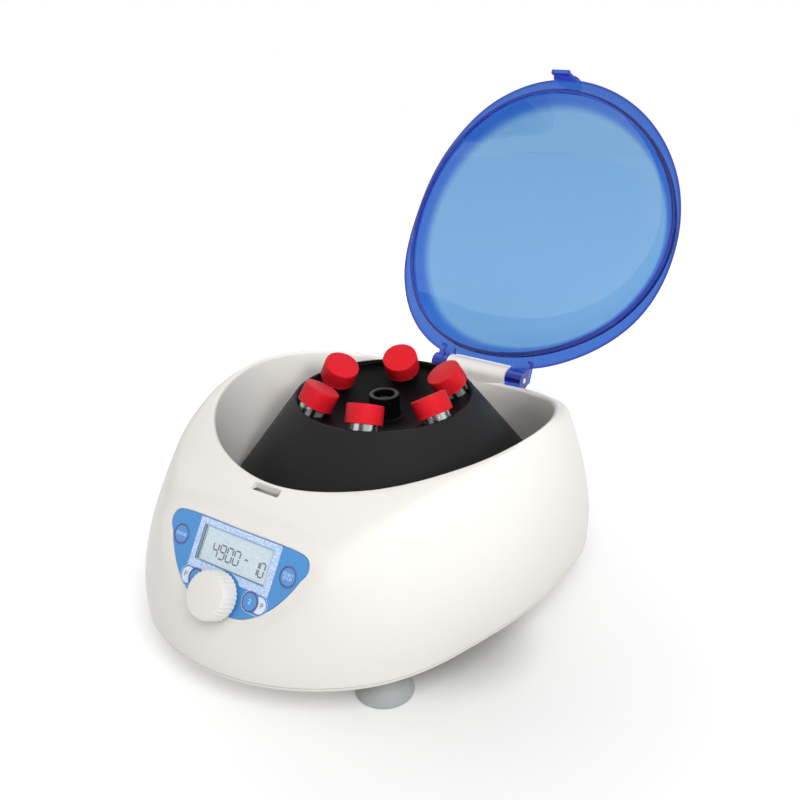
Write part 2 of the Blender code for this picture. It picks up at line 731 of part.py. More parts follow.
def housing_cutters():
    """Slot, knuckle pockets, pin bores, screw holes, rear face and its openings."""
    shapes = []
    slot_top = surface_height(SLOT_SETBACK)
    slot_height = WALL + OVERRUN + OVERRUN
    shapes.append(block((SLOT_WIDTH, SLOT_LENGTH, slot_height),
                        (0, -OPENING_RADIUS - SLOT_SETBACK, slot_top + OVERRUN - slot_height / 2)))
    pocket_end = BAR_HALF_LENGTH + RUNNING_GAP + KNUCKLE_WIDTH + RUNNING_GAP
    for side in (-1, 1):
        ends = sorted((side * BAR_HALF_LENGTH, side * pocket_end))
        shapes.append(along_x(KNUCKLE_RADIUS + RUNNING_GAP, *ends, HINGE_Y, HINGE_Z))
        ends = sorted((side * (BAR_HALF_LENGTH - PIN_DEPTH), side * (BAR_HALF_LENGTH + OVERRUN)))
        shapes.append(along_x(PIN_RADIUS + CLEARANCE, *ends, HINGE_Y, HINGE_Z, SMALL_STEPS))
    for angle, radius, _ in boss_places():
        place = upright(angle, (radius, 0))
        shapes.append(rod(SCREW_RADIUS + CLEARANCE, BASE_HEIGHT - OVERRUN, FOOT_HEIGHT + SCREW_LENGTH,
                          SMALL_STEPS, place))
    middle = REAR_FACE_LOW + REAR_FACE_HEIGHT / 2
    depth = NOSE_LENGTH / 2
    shapes.append(block((REAR_FACE_WIDTH, depth, REAR_FACE_HEIGHT), (0, REAR_FACE_Y + depth / 2, middle)))
    for place, size in ((INLET_PLACE, INLET_BODY), (ROCKER_PLACE, ROCKER_BODY)):
        shapes.append(block((size[0] + CLEARANCE, REAR_PAD + OVERRUN + OVERRUN, size[1] + CLEARANCE),
                            (place, REAR_FACE_Y, middle)))
    return shapes


def make_housing():
    angles = [2 * math.pi * step / AROUND_STEPS for step in range(AROUND_STEPS)]
    housing = add_piece("upper_housing", loft([housing_section(a) for a in angles], closed_section=True),
                        HOUSING_COLOUR, 0.38)
    shape(housing, "UNION", housing_additions())
    shape(housing, "DIFFERENCE", merge_meshes(*housing_cutters(), *panel_cutters()))


# Tray, screws and feet

def make_tray():
    """Flat tray that closes the housing, with a lip inside it, a rib, board stands and vents."""
    rings = []
    for step in range(AROUND_STEPS):
        angle = 2 * math.pi * step / AROUND_STEPS
        edge = base_reach(angle)
        wall = evenly(hollow_path(outer_path(angle)), HOLLOW_POINTS)
        over = float(np.interp(TRAY_TOP + TRAY_LIP_HEIGHT, wall[:, 1], wall[:, 0]))
        lip = min(wall[0, 0], over) - RUNNING_GAP
        rings.append([upright(angle, point) for point in (
            (0, FOOT_HEIGHT), (edge - TRAY_CHAMFER, FOOT_HEIGHT), (edge, FOOT_HEIGHT + TRAY_CHAMFER),
            (edge, TRAY_TOP), (lip, TRAY_TOP), (lip, TRAY_TOP + TRAY_LIP_HEIGHT),
            (lip - TRAY_LIP_WALL, TRAY_TOP + TRAY_LIP_HEIGHT), (lip - TRAY_LIP_WALL, TRAY_TOP), (0, TRAY_TOP))])
    tray = add_piece("base_tray", loft(rings, closed_section=False, poles=True), (0.80, 0.80, 0.77), 0.5)
    sunk = TRAY_TOP - TRAY_THICKNESS / 2
    rib_top = FLOOR_UNDERSIDE - CLEARANCE
    rib = turned([(RIB_RADIUS - RIB_WALL, sunk), (RIB_RADIUS, sunk), (RIB_RADIUS, rib_top),
                  (RIB_RADIUS - RIB_WALL, rib_top)], BAR_STEPS)
    stands = [rod(STAND_RADIUS, sunk, TRAY_TOP + STAND_HEIGHT, SMALL_STEPS,
                  (side * POWER_BOARD_SIZE[0] * THIRD_SHARE, -POWER_BOARD_REACH, 0)) for side in (-1, 1)]
    shape(tray, "UNION", merge_meshes(rib, *stands))
    holes = []
    for angle, radius, _ in boss_places():
        holes.append(rod(SCREW_RADIUS + CLEARANCE, FOOT_HEIGHT - OVERRUN, TRAY_TOP + OVERRUN, SMALL_STEPS,
                         upright(angle, (radius, 0))))
    for x, y in foot_places():
        holes.append(rod(STUD_RADIUS + CLEARANCE, FOOT_HEIGHT - OVERRUN, TRAY_TOP + OVERRUN, SMALL_STEPS,
                         (x, y, 0)))
    for index in range(VENT_COUNT):
        x = (index - (VENT_COUNT - 1) / 2) * VENT_PITCH
        holes.append(block((VENT_WIDTH, VENT_LENGTH, TRAY_THICKNESS + OVERRUN), (x, VENT_SETBACK, TRAY_TOP)))
    shape(tray, "DIFFERENCE", merge_meshes(*holes))


def foot_places():
    return [(-FOOT_SPREAD, -FOOT_REACH), (FOOT_SPREAD, -FOOT_REACH),
            (-REAR_FOOT_SPREAD, REAR_FOOT_REACH), (REAR_FOOT_SPREAD, REAR_FOOT_REACH)]


def make_feet():
    """Rubber suction feet, each on a stud that passes down through the tray."""
    top = FOOT_HEIGHT - CLEARANCE
    side = [(FOOT_RADIUS * across if across else FOOT_NECK, top * along) for across, along in FOOT_SHARES]
    cup = [(0, top), *side, (0, FOOT_DISH_SHARE * top)]
    stud_low = FOOT_HEIGHT - STUD_DEPTH
    head = TRAY_TOP + CLEARANCE
    stud = [(0, stud_low), (STUD_RADIUS, stud_low), (STUD_RADIUS, head), (STUD_HEAD_RADIUS, head),
            (STUD_HEAD_RADIUS, head + STUD_HEAD_HEIGHT), (0, head + STUD_HEAD_HEIGHT)]
    foot_mesh = stud_mesh = None
    for index, (x, y) in enumerate(foot_places(), 1):
        foot = add_piece(f"foot_{index}", foot_mesh or turned(cup, FOOT_STEPS), (0.55, 0.57, 0.58), 0.6,
                         location=(x, y, 0))
        shape(foot, "DIFFERENCE", rod(STUD_RADIUS + CLEARANCE, stud_low - CLEARANCE, top + OVERRUN, SMALL_STEPS))
        pin = add_piece(f"foot_stud_{index}", stud_mesh or turned(stud, SCREW_STEPS), (0.6, 0.6, 0.62), 0.35,
                        1.0, location=(x, y, 0))
        foot_mesh, stud_mesh = foot.data, pin.data


def make_screws():
    for index, (angle, radius, _) in enumerate(boss_places(), 1):
        head = FOOT_HEIGHT - CLEARANCE
        screw = [(0, head - SCREW_HEAD_HEIGHT), (SCREW_HEAD_RADIUS, head - SCREW_HEAD_HEIGHT),
                 (SCREW_HEAD_RADIUS, head), (SCREW_RADIUS, head),
                 (SCREW_RADIUS, FOOT_HEIGHT + SCREW_LENGTH - CLEARANCE),
                 (0, FOOT_HEIGHT + SCREW_LENGTH - CLEARANCE)]
        add_piece(f"housing_screw_{index}", turned(screw, SCREW_STEPS), (0.6, 0.6, 0.62), 0.35, 1.0,
                  location=upright(angle, (radius, 0)))


# Chamber floor, motor and shaft

def make_chamber_floor():
    """Floor of the bowl, with a tower that reaches up inside the rotor over the motor."""
    under = FLOOR_UNDERSIDE
    tower = RIM_HEIGHT - TOWER_TOP_DEPTH
    edge = bowl_radius(FLOOR_HEIGHT) + WALL
    bore = SEAL_RADIUS - FLOOR_THICKNESS
    inside = TOWER_RADIUS - FLOOR_THICKNESS
    ceiling = tower - FLOOR_THICKNESS
    profile = [(edge, under), (edge, FLOOR_HEIGHT), (TOWER_RADIUS, FLOOR_HEIGHT), (TOWER_RADIUS, ceiling),
               (inside, tower), (bore, tower), (bore, ceiling), (inside, ceiling), (inside, under)]
    add_piece("chamber_floor", turned(profile, FLOOR_STEPS), HOUSING_COLOUR, 0.4)
    seal = [(SHAFT_RADIUS + RUNNING_GAP, tower + CLEARANCE), (SEAL_RADIUS, tower + CLEARANCE),
            (SEAL_RADIUS, tower + SEAL_THICKNESS / 2), (SHAFT_RADIUS + RUNNING_GAP, tower + SEAL_THICKNESS)]
    add_piece("shaft_seal", turned(seal, ROUND_STEPS), (0.05, 0.05, 0.05), 0.6)


def make_motor():
    """Brushless motor on a plate that stands on three rubber dampers."""
    plate_low = TRAY_TOP + DAMPER_HEIGHT + CLEARANCE + CLEARANCE
    plate_top = plate_low + PLATE_THICKNESS
    low = plate_top + CLEARANCE
    top = low + MOTOR_HEIGHT
    boss = top + MOTOR_BOSS_HEIGHT
    bore = SHAFT_RADIUS + CLEARANCE
    can = [(0, low), (MOTOR_RADIUS, low), (MOTOR_RADIUS, top - MOTOR_ROUND), (MOTOR_RADIUS - MOTOR_ROUND, top),
           (MOTOR_BOSS_RADIUS, top), (MOTOR_BOSS_RADIUS, boss), (bore, boss), (bore, boss - MOTOR_BORE_DEPTH),
           (0, boss - MOTOR_BORE_DEPTH)]
    add_piece("motor", turned(can, ROUND_STEPS), (0.45, 0.46, 0.48), 0.35, 0.9)
    plate = [(0, plate_low), (PLATE_RADIUS, plate_low), (PLATE_RADIUS, plate_top), (0, plate_top)]
    add_piece("motor_plate", turned(plate, ROUND_STEPS), (0.62, 0.63, 0.64), 0.4, 0.9)
    for index in range(DAMPER_COUNT):
        angle = 2 * math.pi * index / DAMPER_COUNT
        add_piece(f"motor_damper_{index + 1}", rod(DAMPER_RADIUS, 0, DAMPER_HEIGHT, SMALL_STEPS),
                  (0.06, 0.06, 0.06), 0.8, location=upright(angle, (DAMPER_CIRCLE, TRAY_TOP + CLEARANCE)))
    shaft_low = boss - MOTOR_BORE_DEPTH + CLEARANCE
    add_piece("motor_shaft", rod(SHAFT_RADIUS, shaft_low, RIM_HEIGHT - SHAFT_TOP_DEPTH, ROUND_STEPS),
              (0.7, 0.7, 0.72), 0.25, 1.0)


# Rotor and nut

def tube_matrix(index):
    """Frame of one tube: origin at the middle of the cap's face, Z out along the tube's axis."""
    station = Matrix.Rotation(TUBE_PHASE + 2 * math.pi * index / TUBE_COUNT, 4, "Z")
    face = Matrix.Translation((0, -CAP_FACE_CIRCLE, RIM_HEIGHT + CAP_FACE_RISE))
    return station @ face @ Matrix.Rotation(-TUBE_TILT, 4, "X")


def tip_profile(radius, mouth, tip, steps):
    """Round-ended outline from the mouth down to the tip, ending on the axis."""
    points = [(radius, mouth)]
    for step in range(steps):
        turn = math.pi / 2 * step / steps
        points.append((radius * math.cos(turn), tip + radius - radius * math.sin(turn)))
    return points + [(0, tip)]


def make_rotor():
    """Fixed-angle rotor: dished top round a hub, cone, skirt and a hollow for the tower."""
    rim = RIM_HEIGHT
    cone_depth = (ROTOR_RADIUS - RIM_RADIUS) / math.tan(CONE_ANGLE)
    bore = SHAFT_RADIUS + CLEARANCE
    profile = [(HUB_BORE, rim - NUT_SEAT_DEPTH), (HUB_BORE, rim - HUB_TOP_DEPTH),
               (HUB_RADIUS - HUB_CHAMFER, rim - HUB_TOP_DEPTH), (HUB_RADIUS, rim - HUB_TOP_DEPTH - HUB_CHAMFER),
               (HUB_RADIUS, rim - DISH_DEPTH + HUB_FILLET), (HUB_RADIUS + HUB_FILLET, rim - DISH_DEPTH),
               (DISH_RADIUS, rim - DISH_EDGE_DEPTH - LIP_ROUND), (DISH_RADIUS, rim - DISH_EDGE_DEPTH),
               (RIM_RADIUS - RIM_LAND, rim), (RIM_RADIUS, rim), (ROTOR_RADIUS, rim - cone_depth),
               (ROTOR_RADIUS, rim - ROTOR_DEPTH + ROTOR_EDGE), (ROTOR_RADIUS - ROTOR_EDGE, rim - ROTOR_DEPTH),
               (HOLLOW_BOTTOM_RADIUS, rim - ROTOR_DEPTH), (HOLLOW_TOP_RADIUS, rim - WEB_DEPTH),
               (bore, rim - WEB_DEPTH), (bore, rim - NUT_SEAT_DEPTH)]
    rotor = add_piece("rotor", turned(profile, ROTOR_STEPS), (0.025, 0.025, 0.028), 0.45)
    sockets = []
    radius = TUBE_RADIUS + TUBE_GAP
    for index in range(TUBE_COUNT):
        end = -CAP_TOP - TUBE_LENGTH - TUBE_GAP
        outline = [(0, CAP_HEIGHT)] + tip_profile(radius, CAP_HEIGHT, end, TIP_STEPS)
        socket = turned(outline, SMALL_STEPS)
        bmesh.ops.transform(socket, matrix=tube_matrix(index), verts=socket.verts)
        sockets.append(socket)
    shape(rotor, "DIFFERENCE", merge_meshes(*sockets))
    reach = NUT_ACROSS / math.sqrt(3)
    turns = np.arange(NUT_SIDES) * math.tau / NUT_SIDES
    seat = rim - NUT_SEAT_DEPTH + CLEARANCE
    nut = prism([(reach * math.cos(turn), reach * math.sin(turn)) for turn in turns], seat, seat + NUT_HEIGHT)
    nut_piece = add_piece("rotor_nut", nut, (0.5, 0.5, 0.52), 0.3, 1.0)
    shape(nut_piece, "DIFFERENCE", rod(bore, rim - NUT_SEAT_DEPTH - OVERRUN, rim + OVERRUN, ROUND_STEPS))


def make_tubes():
    """Round-bottomed glass tubes, each closed by a screw cap."""
    mouth = -CAP_TOP - CLEARANCE
    tip = -CAP_TOP - TUBE_LENGTH
    outer = tip_profile(TUBE_RADIUS, mouth, tip, TIP_STEPS)
    inner = tip_profile(TUBE_RADIUS - TUBE_WALL, mouth, tip + TUBE_WALL, TIP_STEPS)
    wall = outer[::-1] + inner
    cap_inner = TUBE_RADIUS + CAP_GAP
    cap = [(0, 0), (CAP_RADIUS - CAP_CHAMFER, 0), (CAP_RADIUS, -CAP_CHAMFER), (CAP_RADIUS, -CAP_HEIGHT),
           (cap_inner, -CAP_HEIGHT), (cap_inner, -CAP_TOP), (0, -CAP_TOP)]
    tube_mesh = cap_mesh = None
    for index in range(TUBE_COUNT):
        frame = tube_matrix(index)
        place = {"location": frame.to_translation(), "rotation": frame.to_euler()}
        tube = add_piece(f"tube_{index + 1}", tube_mesh or turned(wall, SMALL_STEPS), (0.80, 0.86, 0.88), 0.08, **place)
        top = add_piece(f"cap_{index + 1}", cap_mesh or turned(cap, CAP_STEPS), (0.78, 0.03, 0.05), 0.42, **place)
        tube_mesh, cap_mesh = tube.data, top.data


# Lid

def lid_edge(angle):
    """Height of the underside of the lid's flange when it is shut."""
    return opening_edge(angle) + LID_GAP


def lid_section(angle):
    """Half section of the shut lid, from the top of the dome out, round the flange and back under."""
    crown = RIM_HEIGHT + LID_CROWN_RISE
    edge = lid_edge(angle)
    flange = OPENING_RADIUS + LID_FLANGE_REACH * around(LID_FLANGE_SHARES, angle)
    inner = OPENING_RADIUS - LID_LIP_INSET * around(LID_LIP_SHARES, angle)
    outer = inner + LID_WALL
    low = opening_edge(angle) - LID_LIP_DEPTH
    top = edge + LID_WALL

    def dome(radius, rim, foot, height):
        points = []
        for step in range(LID_DOME_STEPS + 1):
            share = math.sin(math.pi / 2 * step / LID_DOME_STEPS)
            points.append((radius * share, height - (height - foot) * share ** LID_DOME_POWER_SHARE))
        return points

    over = dome(outer, flange, top + LID_WALL / 2, crown)
    under = dome(inner, flange, edge + LID_WALL / 2, crown - LID_WALL)
    rim = [(outer + LID_WALL / 2, top), (flange - LID_WALL / 2, top), (flange, edge + LID_WALL / 2), (flange, edge),
           (outer, edge), (outer, low), (inner, low)]
    return [upright(angle, point) for point in over + rim + under[::-1]]


def make_lid():
    """Clear dome with a lip, a flange, two hinge knuckles with gussets, and a hook in front."""
    hinge = add_frame("lid_hinge_axis", (0, HINGE_Y, HINGE_Z), (-LID_OPEN_ANGLE, 0, 0))
    to_hinge = Matrix.Translation((0, -HINGE_Y, -HINGE_Z))
    angles = [2 * math.pi * step / LID_STEPS for step in range(LID_STEPS)]
    shell = loft([lid_section(a) for a in angles], closed_section=False, poles=True)
    shapes = [lid_hook()]
    for side in (-1, 1):
        shapes += lid_knuckle(side)
    additions = [merge_meshes(item) for item in shapes]
    cutters = lid_cutters()
    for mesh in (shell, *additions, cutters):
        bmesh.ops.transform(mesh, matrix=to_hinge, verts=mesh.verts)
    lid = add_piece("lid", shell, (0.10, 0.30, 0.80), 0.12, parent=hinge)
    for number, mesh in enumerate(additions):
        helper = shape(lid, "UNION", mesh)
        helper.name = f"lid_addition_{number}"
    shape(lid, "DIFFERENCE", cutters)


def lid_knuckle(side):
    """Barrel round the pin, an arm to the flange, and a thin gusset over the arm."""
    near = BAR_HALF_LENGTH + RUNNING_GAP
    far = near + KNUCKLE_WIDTH
    ends = sorted((side * near, side * far))
    edge = lid_edge(math.pi)
    clear = lid_edge(math.pi - math.asin(far / OPENING_RADIUS))
    top = clear + LID_WALL
    front = OPENING_RADIUS - LID_LIP_INSET
    arm = [(HINGE_Y - KNUCKLE_RADIUS / 2, edge), (HINGE_Y, HINGE_Z + KNUCKLE_RADIUS - CLEARANCE),
           (front + LID_WALL, top + LID_WALL / 2), (front + LID_WALL, clear), (HINGE_Y - KNUCKLE_RADIUS, clear)]
    gusset_ends = sorted((side * far, side * (far - GUSSET_WALL)))
    gusset = [(HINGE_Y + KNUCKLE_RADIUS - CLEARANCE, HINGE_Z), (HINGE_Y, HINGE_Z + KNUCKLE_RADIUS / 2),
              (front, top), (front, edge + LID_WALL + GUSSET_REACH / 2), (HINGE_Y, HINGE_Z + KNUCKLE_RADIUS + LID_WALL)]
    barrel = along_x(KNUCKLE_RADIUS, *ends, HINGE_Y, HINGE_Z)
    return [barrel, prism_along_x(arm, *ends), prism_along_x(gusset, *gusset_ends)]


def lid_hook():
    """Tongue over the front of the flange and a barbed leg that drops through the slot."""
    edge = lid_edge(0)
    front = -OPENING_RADIUS - SLOT_SETBACK
    back = front + SLOT_LENGTH / 2 - RUNNING_GAP
    face = back - HOOK_THICKNESS
    low = edge - HOOK_LENGTH
    barb = low + HOOK_BARB_HEIGHT
    outline = [(face, edge + LID_WALL), (face, barb), (face - HOOK_BARB, barb), (face - HOOK_BARB / 2, low),
               (back, low), (back, edge), (front + HOOK_ROOT, edge), (front + HOOK_ROOT, edge + LID_WALL)]
    return prism_along_x(outline, -HOOK_WIDTH / 2, HOOK_WIDTH / 2)


def lid_cutters():
    """Straight cut that clears the hinge bar, and the pin bores."""
    clear = HINGE_Y - BAR_RADIUS - RUNNING_GAP
    half = BAR_HALF_LENGTH + RUNNING_GAP
    high = RIM_HEIGHT
    low = FOOT_HEIGHT
    shapes = [block((half + half, NOSE_LENGTH, high - low), (0, clear + NOSE_LENGTH / 2, (high + low) / 2))]
    for side in (-1, 1):
        ends = sorted((side * (half - OVERRUN), side * (half + KNUCKLE_WIDTH + OVERRUN)))
        shapes.append(along_x(PIN_RADIUS + CLEARANCE, *ends, HINGE_Y, HINGE_Z, SMALL_STEPS))
    return merge_meshes(*shapes)


def make_hinge_pins():
    length = PIN_DEPTH + RUNNING_GAP + KNUCKLE_WIDTH
    for name, side in (("hinge_pin_left", -1), ("hinge_pin_right", 1)):
        ends = sorted((side * (BAR_HALF_LENGTH - PIN_DEPTH + CLEARANCE),
                       side * (BAR_HALF_LENGTH - PIN_DEPTH + length)))
        pin = rod(PIN_RADIUS, *ends, SMALL_STEPS)
        add_piece(name, move_mesh(pin, rotation=(0, math.pi / 2, 0)), (0.7, 0.7, 0.72), 0.3, 1.0,
                  location=(0, HINGE_Y, HINGE_Z))


# Latch

def latch_pivot():
    edge = lid_edge(0)
    face = -OPENING_RADIUS - SLOT_SETBACK + SLOT_LENGTH / 2 - RUNNING_GAP - HOOK_THICKNESS - HOOK_BARB
    barb = edge - HOOK_LENGTH + HOOK_BARB_HEIGHT
    nose = min(point[1] for point in PAWL_SHARES[4:6])
    return face - PAWL_SETBACK, barb + CLEARANCE - nose * PAWL_SIZE


def make_latch():
    """Pawl that closes over the barb of the lid's hook, pushed clear by a solenoid."""
    y, z = latch_pivot()
    half = PAWL_WIDTH / 2
    outline = [(PAWL_SIZE * a, PAWL_SIZE * b) for a, b in PAWL_SHARES]
    pawl = add_piece("latch_pawl", prism_along_x(outline, -half, half), (0.85, 0.85, 0.82), 0.4,
                     location=(0, y, z), rotation=(PAWL_FREE_ANGLE, 0, 0))
    shape(pawl, "DIFFERENCE", along_x(PAWL_PIN_RADIUS + CLEARANCE, -half - OVERRUN, half + OVERRUN, 0, 0,
                                      SMALL_STEPS))
    shelf = z - BRACKET_DROP
    back = -bowl_radius(z) - WALL - CLEARANCE - CLEARANCE
    front = back - BRACKET_DEPTH
    inside = half + RUNNING_GAP
    outside = inside + BRACKET_WALL
    cheek = [(back, shelf), (front, shelf), (y - PAWL_PIN_RADIUS - BRACKET_WALL, z + BRACKET_RISE),
             (y + PAWL_PIN_RADIUS + BRACKET_WALL, z + BRACKET_RISE), (back, z)]
    bracket = add_piece("latch_bracket", prism_along_x(cheek, -outside, outside), (0.62, 0.63, 0.64), 0.4, 0.9)
    clear_low = shelf + BRACKET_WALL
    hollow = block((inside + inside, BRACKET_DEPTH + OVERRUN, BRACKET_DROP + OVERRUN),
                   (0, back - BRACKET_WALL - (BRACKET_DEPTH + OVERRUN) / 2,
                    clear_low + (BRACKET_DROP + OVERRUN) / 2))
    plunger_y = y + PLUNGER_ARM
    bore = rod(PLUNGER_RADIUS + CLEARANCE, shelf - OVERRUN, clear_low + BRACKET_WALL / 2, SMALL_STEPS,
               (0, plunger_y, 0))
    shape(bracket, "DIFFERENCE", hollow)
    shape(bracket, "DIFFERENCE", bore).name = "latch_bracket_bore"
    shape(bracket, "UNION", along_x(PAWL_PIN_RADIUS, -inside - BRACKET_WALL / 2, inside + BRACKET_WALL / 2, y, z,
                                     SMALL_STEPS))
    top = shelf - CLEARANCE
    bore = PLUNGER_RADIUS + CLEARANCE
    middle = top - SOLENOID_HEIGHT / 2
    coil = [(0, middle), (bore, middle), (bore, top), (SOLENOID_RADIUS, top), (SOLENOID_RADIUS, top - SOLENOID_HEIGHT),
            (0, top - SOLENOID_HEIGHT)]
    add_piece("latch_solenoid", turned(coil, ROUND_STEPS), (0.55, 0.30, 0.12), 0.5, location=(0, plunger_y, 0))
    heel = plunger_top()
    add_piece("latch_plunger", rod(PLUNGER_RADIUS, middle + PLUNGER_DROP + CLEARANCE, heel, SMALL_STEPS),
              (0.7, 0.7, 0.72), 0.3, 1.0, location=(0, plunger_y, 0))
    size = SWITCH_SIZE
    add_piece("lid_switch", block(size, (outside + CLEARANCE + size[0] / 2, back - size[1] / 2 - BRACKET_WALL,
                                         z - BRACKET_DROP / 2)), (0.1, 0.1, 0.1), 0.5)


def plunger_top():
    """Height of the pawl's heel above the plunger with the pawl swung clear."""
    _, z = latch_pivot()
    heel = PAWL_SIZE * PAWL_SHARES[0][1]
    turn = PAWL_FREE_ANGLE
    return z + heel * math.cos(turn) + (PLUNGER_ARM - PLUNGER_RADIUS) * math.sin(turn) - CLEARANCE


# Panel pieces, in panel coordinates

def make_panel(panel):
    film = add_piece("key_film", prism(panel_outline(CLEARANCE), -POCKET_DEPTH + CLEARANCE,
                                       FILM_THICKNESS - POCKET_DEPTH + CLEARANCE), (0.16, 0.42, 0.86), 0.35,
                     parent=panel)
    holes = [block((WINDOW_WIDTH, WINDOW_HEIGHT, OVERRUN))]
    for x, y in KEY_PLACES.values():
        holes.append(rod(KEY_RADIUS + CLEARANCE, -OVERRUN, OVERRUN, KEY_STEPS, (x, y, 0)))
    holes.append(rod(ENCODER_BUSH_RADIUS + CLEARANCE, -OVERRUN, OVERRUN, ROUND_STEPS, (0, KNOB_PLACE, 0)))
    shape(film, "DIFFERENCE", merge_meshes(*holes))
    low = -POCKET_DEPTH + CLEARANCE
    add_piece("display_window", block((WINDOW_WIDTH - CLEARANCE, WINDOW_HEIGHT - CLEARANCE, WINDOW_THICKNESS),
                                      (0, 0, low + WINDOW_THICKNESS / 2)), (0.72, 0.80, 0.84), 0.1, parent=panel)
    module_top = low - CLEARANCE
    back = -BOARD_DEPTH + CLEARANCE
    module = [(-MODULE_HEIGHT / 2, module_top), (-MODULE_HEIGHT / 2, -MODULE_STEP_DEPTH),
              (-MODULE_HEIGHT / 2 - MODULE_STEP, -MODULE_STEP_DEPTH), (-MODULE_HEIGHT / 2 - MODULE_STEP, back),
              (MODULE_HEIGHT / 2 + MODULE_STEP, back), (MODULE_HEIGHT / 2 + MODULE_STEP, -MODULE_STEP_DEPTH),
              (MODULE_HEIGHT / 2, -MODULE_STEP_DEPTH), (MODULE_HEIGHT / 2, module_top)]
    add_piece("display_module", prism_along_x(module, -MODULE_WIDTH / 2 + CLEARANCE, MODULE_WIDTH / 2 - CLEARANCE),
              (0.60, 0.68, 0.70), 0.3, parent=panel)
    make_board(panel)
    stem_end = -BOARD_DEPTH + BOARD_THICKNESS + KEY_TRAVEL + CLEARANCE
    cap_low = KEY_PROUD - KEY_THICKNESS
    for name, (x, y) in KEY_PLACES.items():
        profile = [(0, stem_end), (KEY_STEM_RADIUS, stem_end), (KEY_STEM_RADIUS, cap_low), (KEY_RADIUS, cap_low),
                   (KEY_RADIUS, KEY_PROUD), (0, KEY_PROUD)]
        add_piece(name, turned(profile, KEY_STEPS), (0.16, 0.42, 0.86), 0.35, parent=panel, location=(x, y, 0))


def make_board(panel):
    """Board behind the panel, with the domed contacts that the keys press."""
    outline = [(-BOARD_HALF_WIDTH, BOARD_TOP), (-BOARD_HALF_WIDTH, BOARD_KNEE), (-BOARD_FOOT_HALF_WIDTH, BOARD_BOTTOM),
               (BOARD_FOOT_HALF_WIDTH, BOARD_BOTTOM), (BOARD_HALF_WIDTH, BOARD_KNEE), (BOARD_HALF_WIDTH, BOARD_TOP)]
    board = add_piece("control_board", prism(outline, -BOARD_DEPTH - BOARD_THICKNESS, -BOARD_DEPTH),
                      (0.05, 0.30, 0.12), 0.5, parent=panel)
    contacts = [rod(SWITCH_RADIUS, -BOARD_DEPTH - BOARD_THICKNESS / 2, -BOARD_DEPTH + BOARD_THICKNESS, SMALL_STEPS, (x, y, 0))
                for x, y in KEY_PLACES.values()]
    shape(board, "UNION", merge_meshes(*contacts))


def make_knob(panel):
    """Ribbed knob on the encoder's shaft; both turn about the panel's normal."""
    rings = []
    steps = KNOB_RIBS * 2
    bore = ENCODER_SHAFT_RADIUS + CLEARANCE
    for step in range(steps):
        angle = 2 * math.pi * step / steps
        radius = KNOB_RADIUS - (KNOB_RIB_DEPTH if step % 2 == 0 else 0)
        outline = [(0, KNOB_FACE_HEIGHT), (KNOB_FACE_RADIUS, KNOB_FACE_HEIGHT),
                   (radius, KNOB_FACE_HEIGHT - (KNOB_RADIUS - KNOB_FACE_RADIUS)), (radius, KNOB_BACK_HEIGHT),
                   (bore, KNOB_BACK_HEIGHT), (bore, KNOB_BACK_HEIGHT + KNOB_BORE_DEPTH),
                   (0, KNOB_BACK_HEIGHT + KNOB_BORE_DEPTH)]
        rings.append([Vector((r * math.cos(angle), r * math.sin(angle), z)) for r, z in outline])
    place = (0, KNOB_PLACE, 0)
    add_piece("knob", loft(rings, closed_section=False, poles=True), (0.88, 0.88, 0.86), 0.4, parent=panel,
              location=place)
    bush_low = -WALL - RUNNING_GAP
    shaft_low = -BOARD_DEPTH + ENCODER_TOP + RUNNING_GAP
    add_piece("encoder_shaft", rod(ENCODER_SHAFT_RADIUS, shaft_low, KNOB_BACK_HEIGHT + KNOB_BORE_DEPTH - CLEARANCE),
              (0.6, 0.6, 0.62), 0.3, 1.0, parent=panel, location=place)
    body = add_piece("encoder", block((ENCODER_SIZE, ENCODER_SIZE, BOARD_DEPTH + bush_low - CLEARANCE),
                                      (0, 0, (bush_low - BOARD_DEPTH + CLEARANCE) / 2)), (0.25, 0.26, 0.28), 0.4, 0.5,
                     parent=panel, location=place)
    shape(body, "UNION", rod(ENCODER_BUSH_RADIUS, bush_low - RUNNING_GAP, ENCODER_TOP, ROUND_STEPS))
    shape(body, "DIFFERENCE", rod(ENCODER_SHAFT_RADIUS + CLEARANCE, shaft_low - CLEARANCE, OVERRUN))


# Power pieces

def make_power_board():
    width, depth, thick = POWER_BOARD_SIZE
    low = TRAY_TOP + STAND_HEIGHT + CLEARANCE
    board = add_piece("power_board", block(POWER_BOARD_SIZE, (0, -POWER_BOARD_REACH, low + thick / 2)),
                      (0.05, 0.30, 0.12), 0.5)
    tall = TRANSFORMER_SIZE[2]
    transformer = block(TRANSFORMER_SIZE, (-width * THIRD_SHARE, -POWER_BOARD_REACH, low + thick / 2 + tall / 2))
    capacitors = [rod(CAPACITOR_RADIUS, low + thick / 2, low + thick + CAPACITOR_HEIGHT, SMALL_STEPS,
                      (width * share, -POWER_BOARD_REACH, 0)) for share in CAPACITOR_SHARES]
    shape(board, "UNION", merge_meshes(transformer, *capacitors))


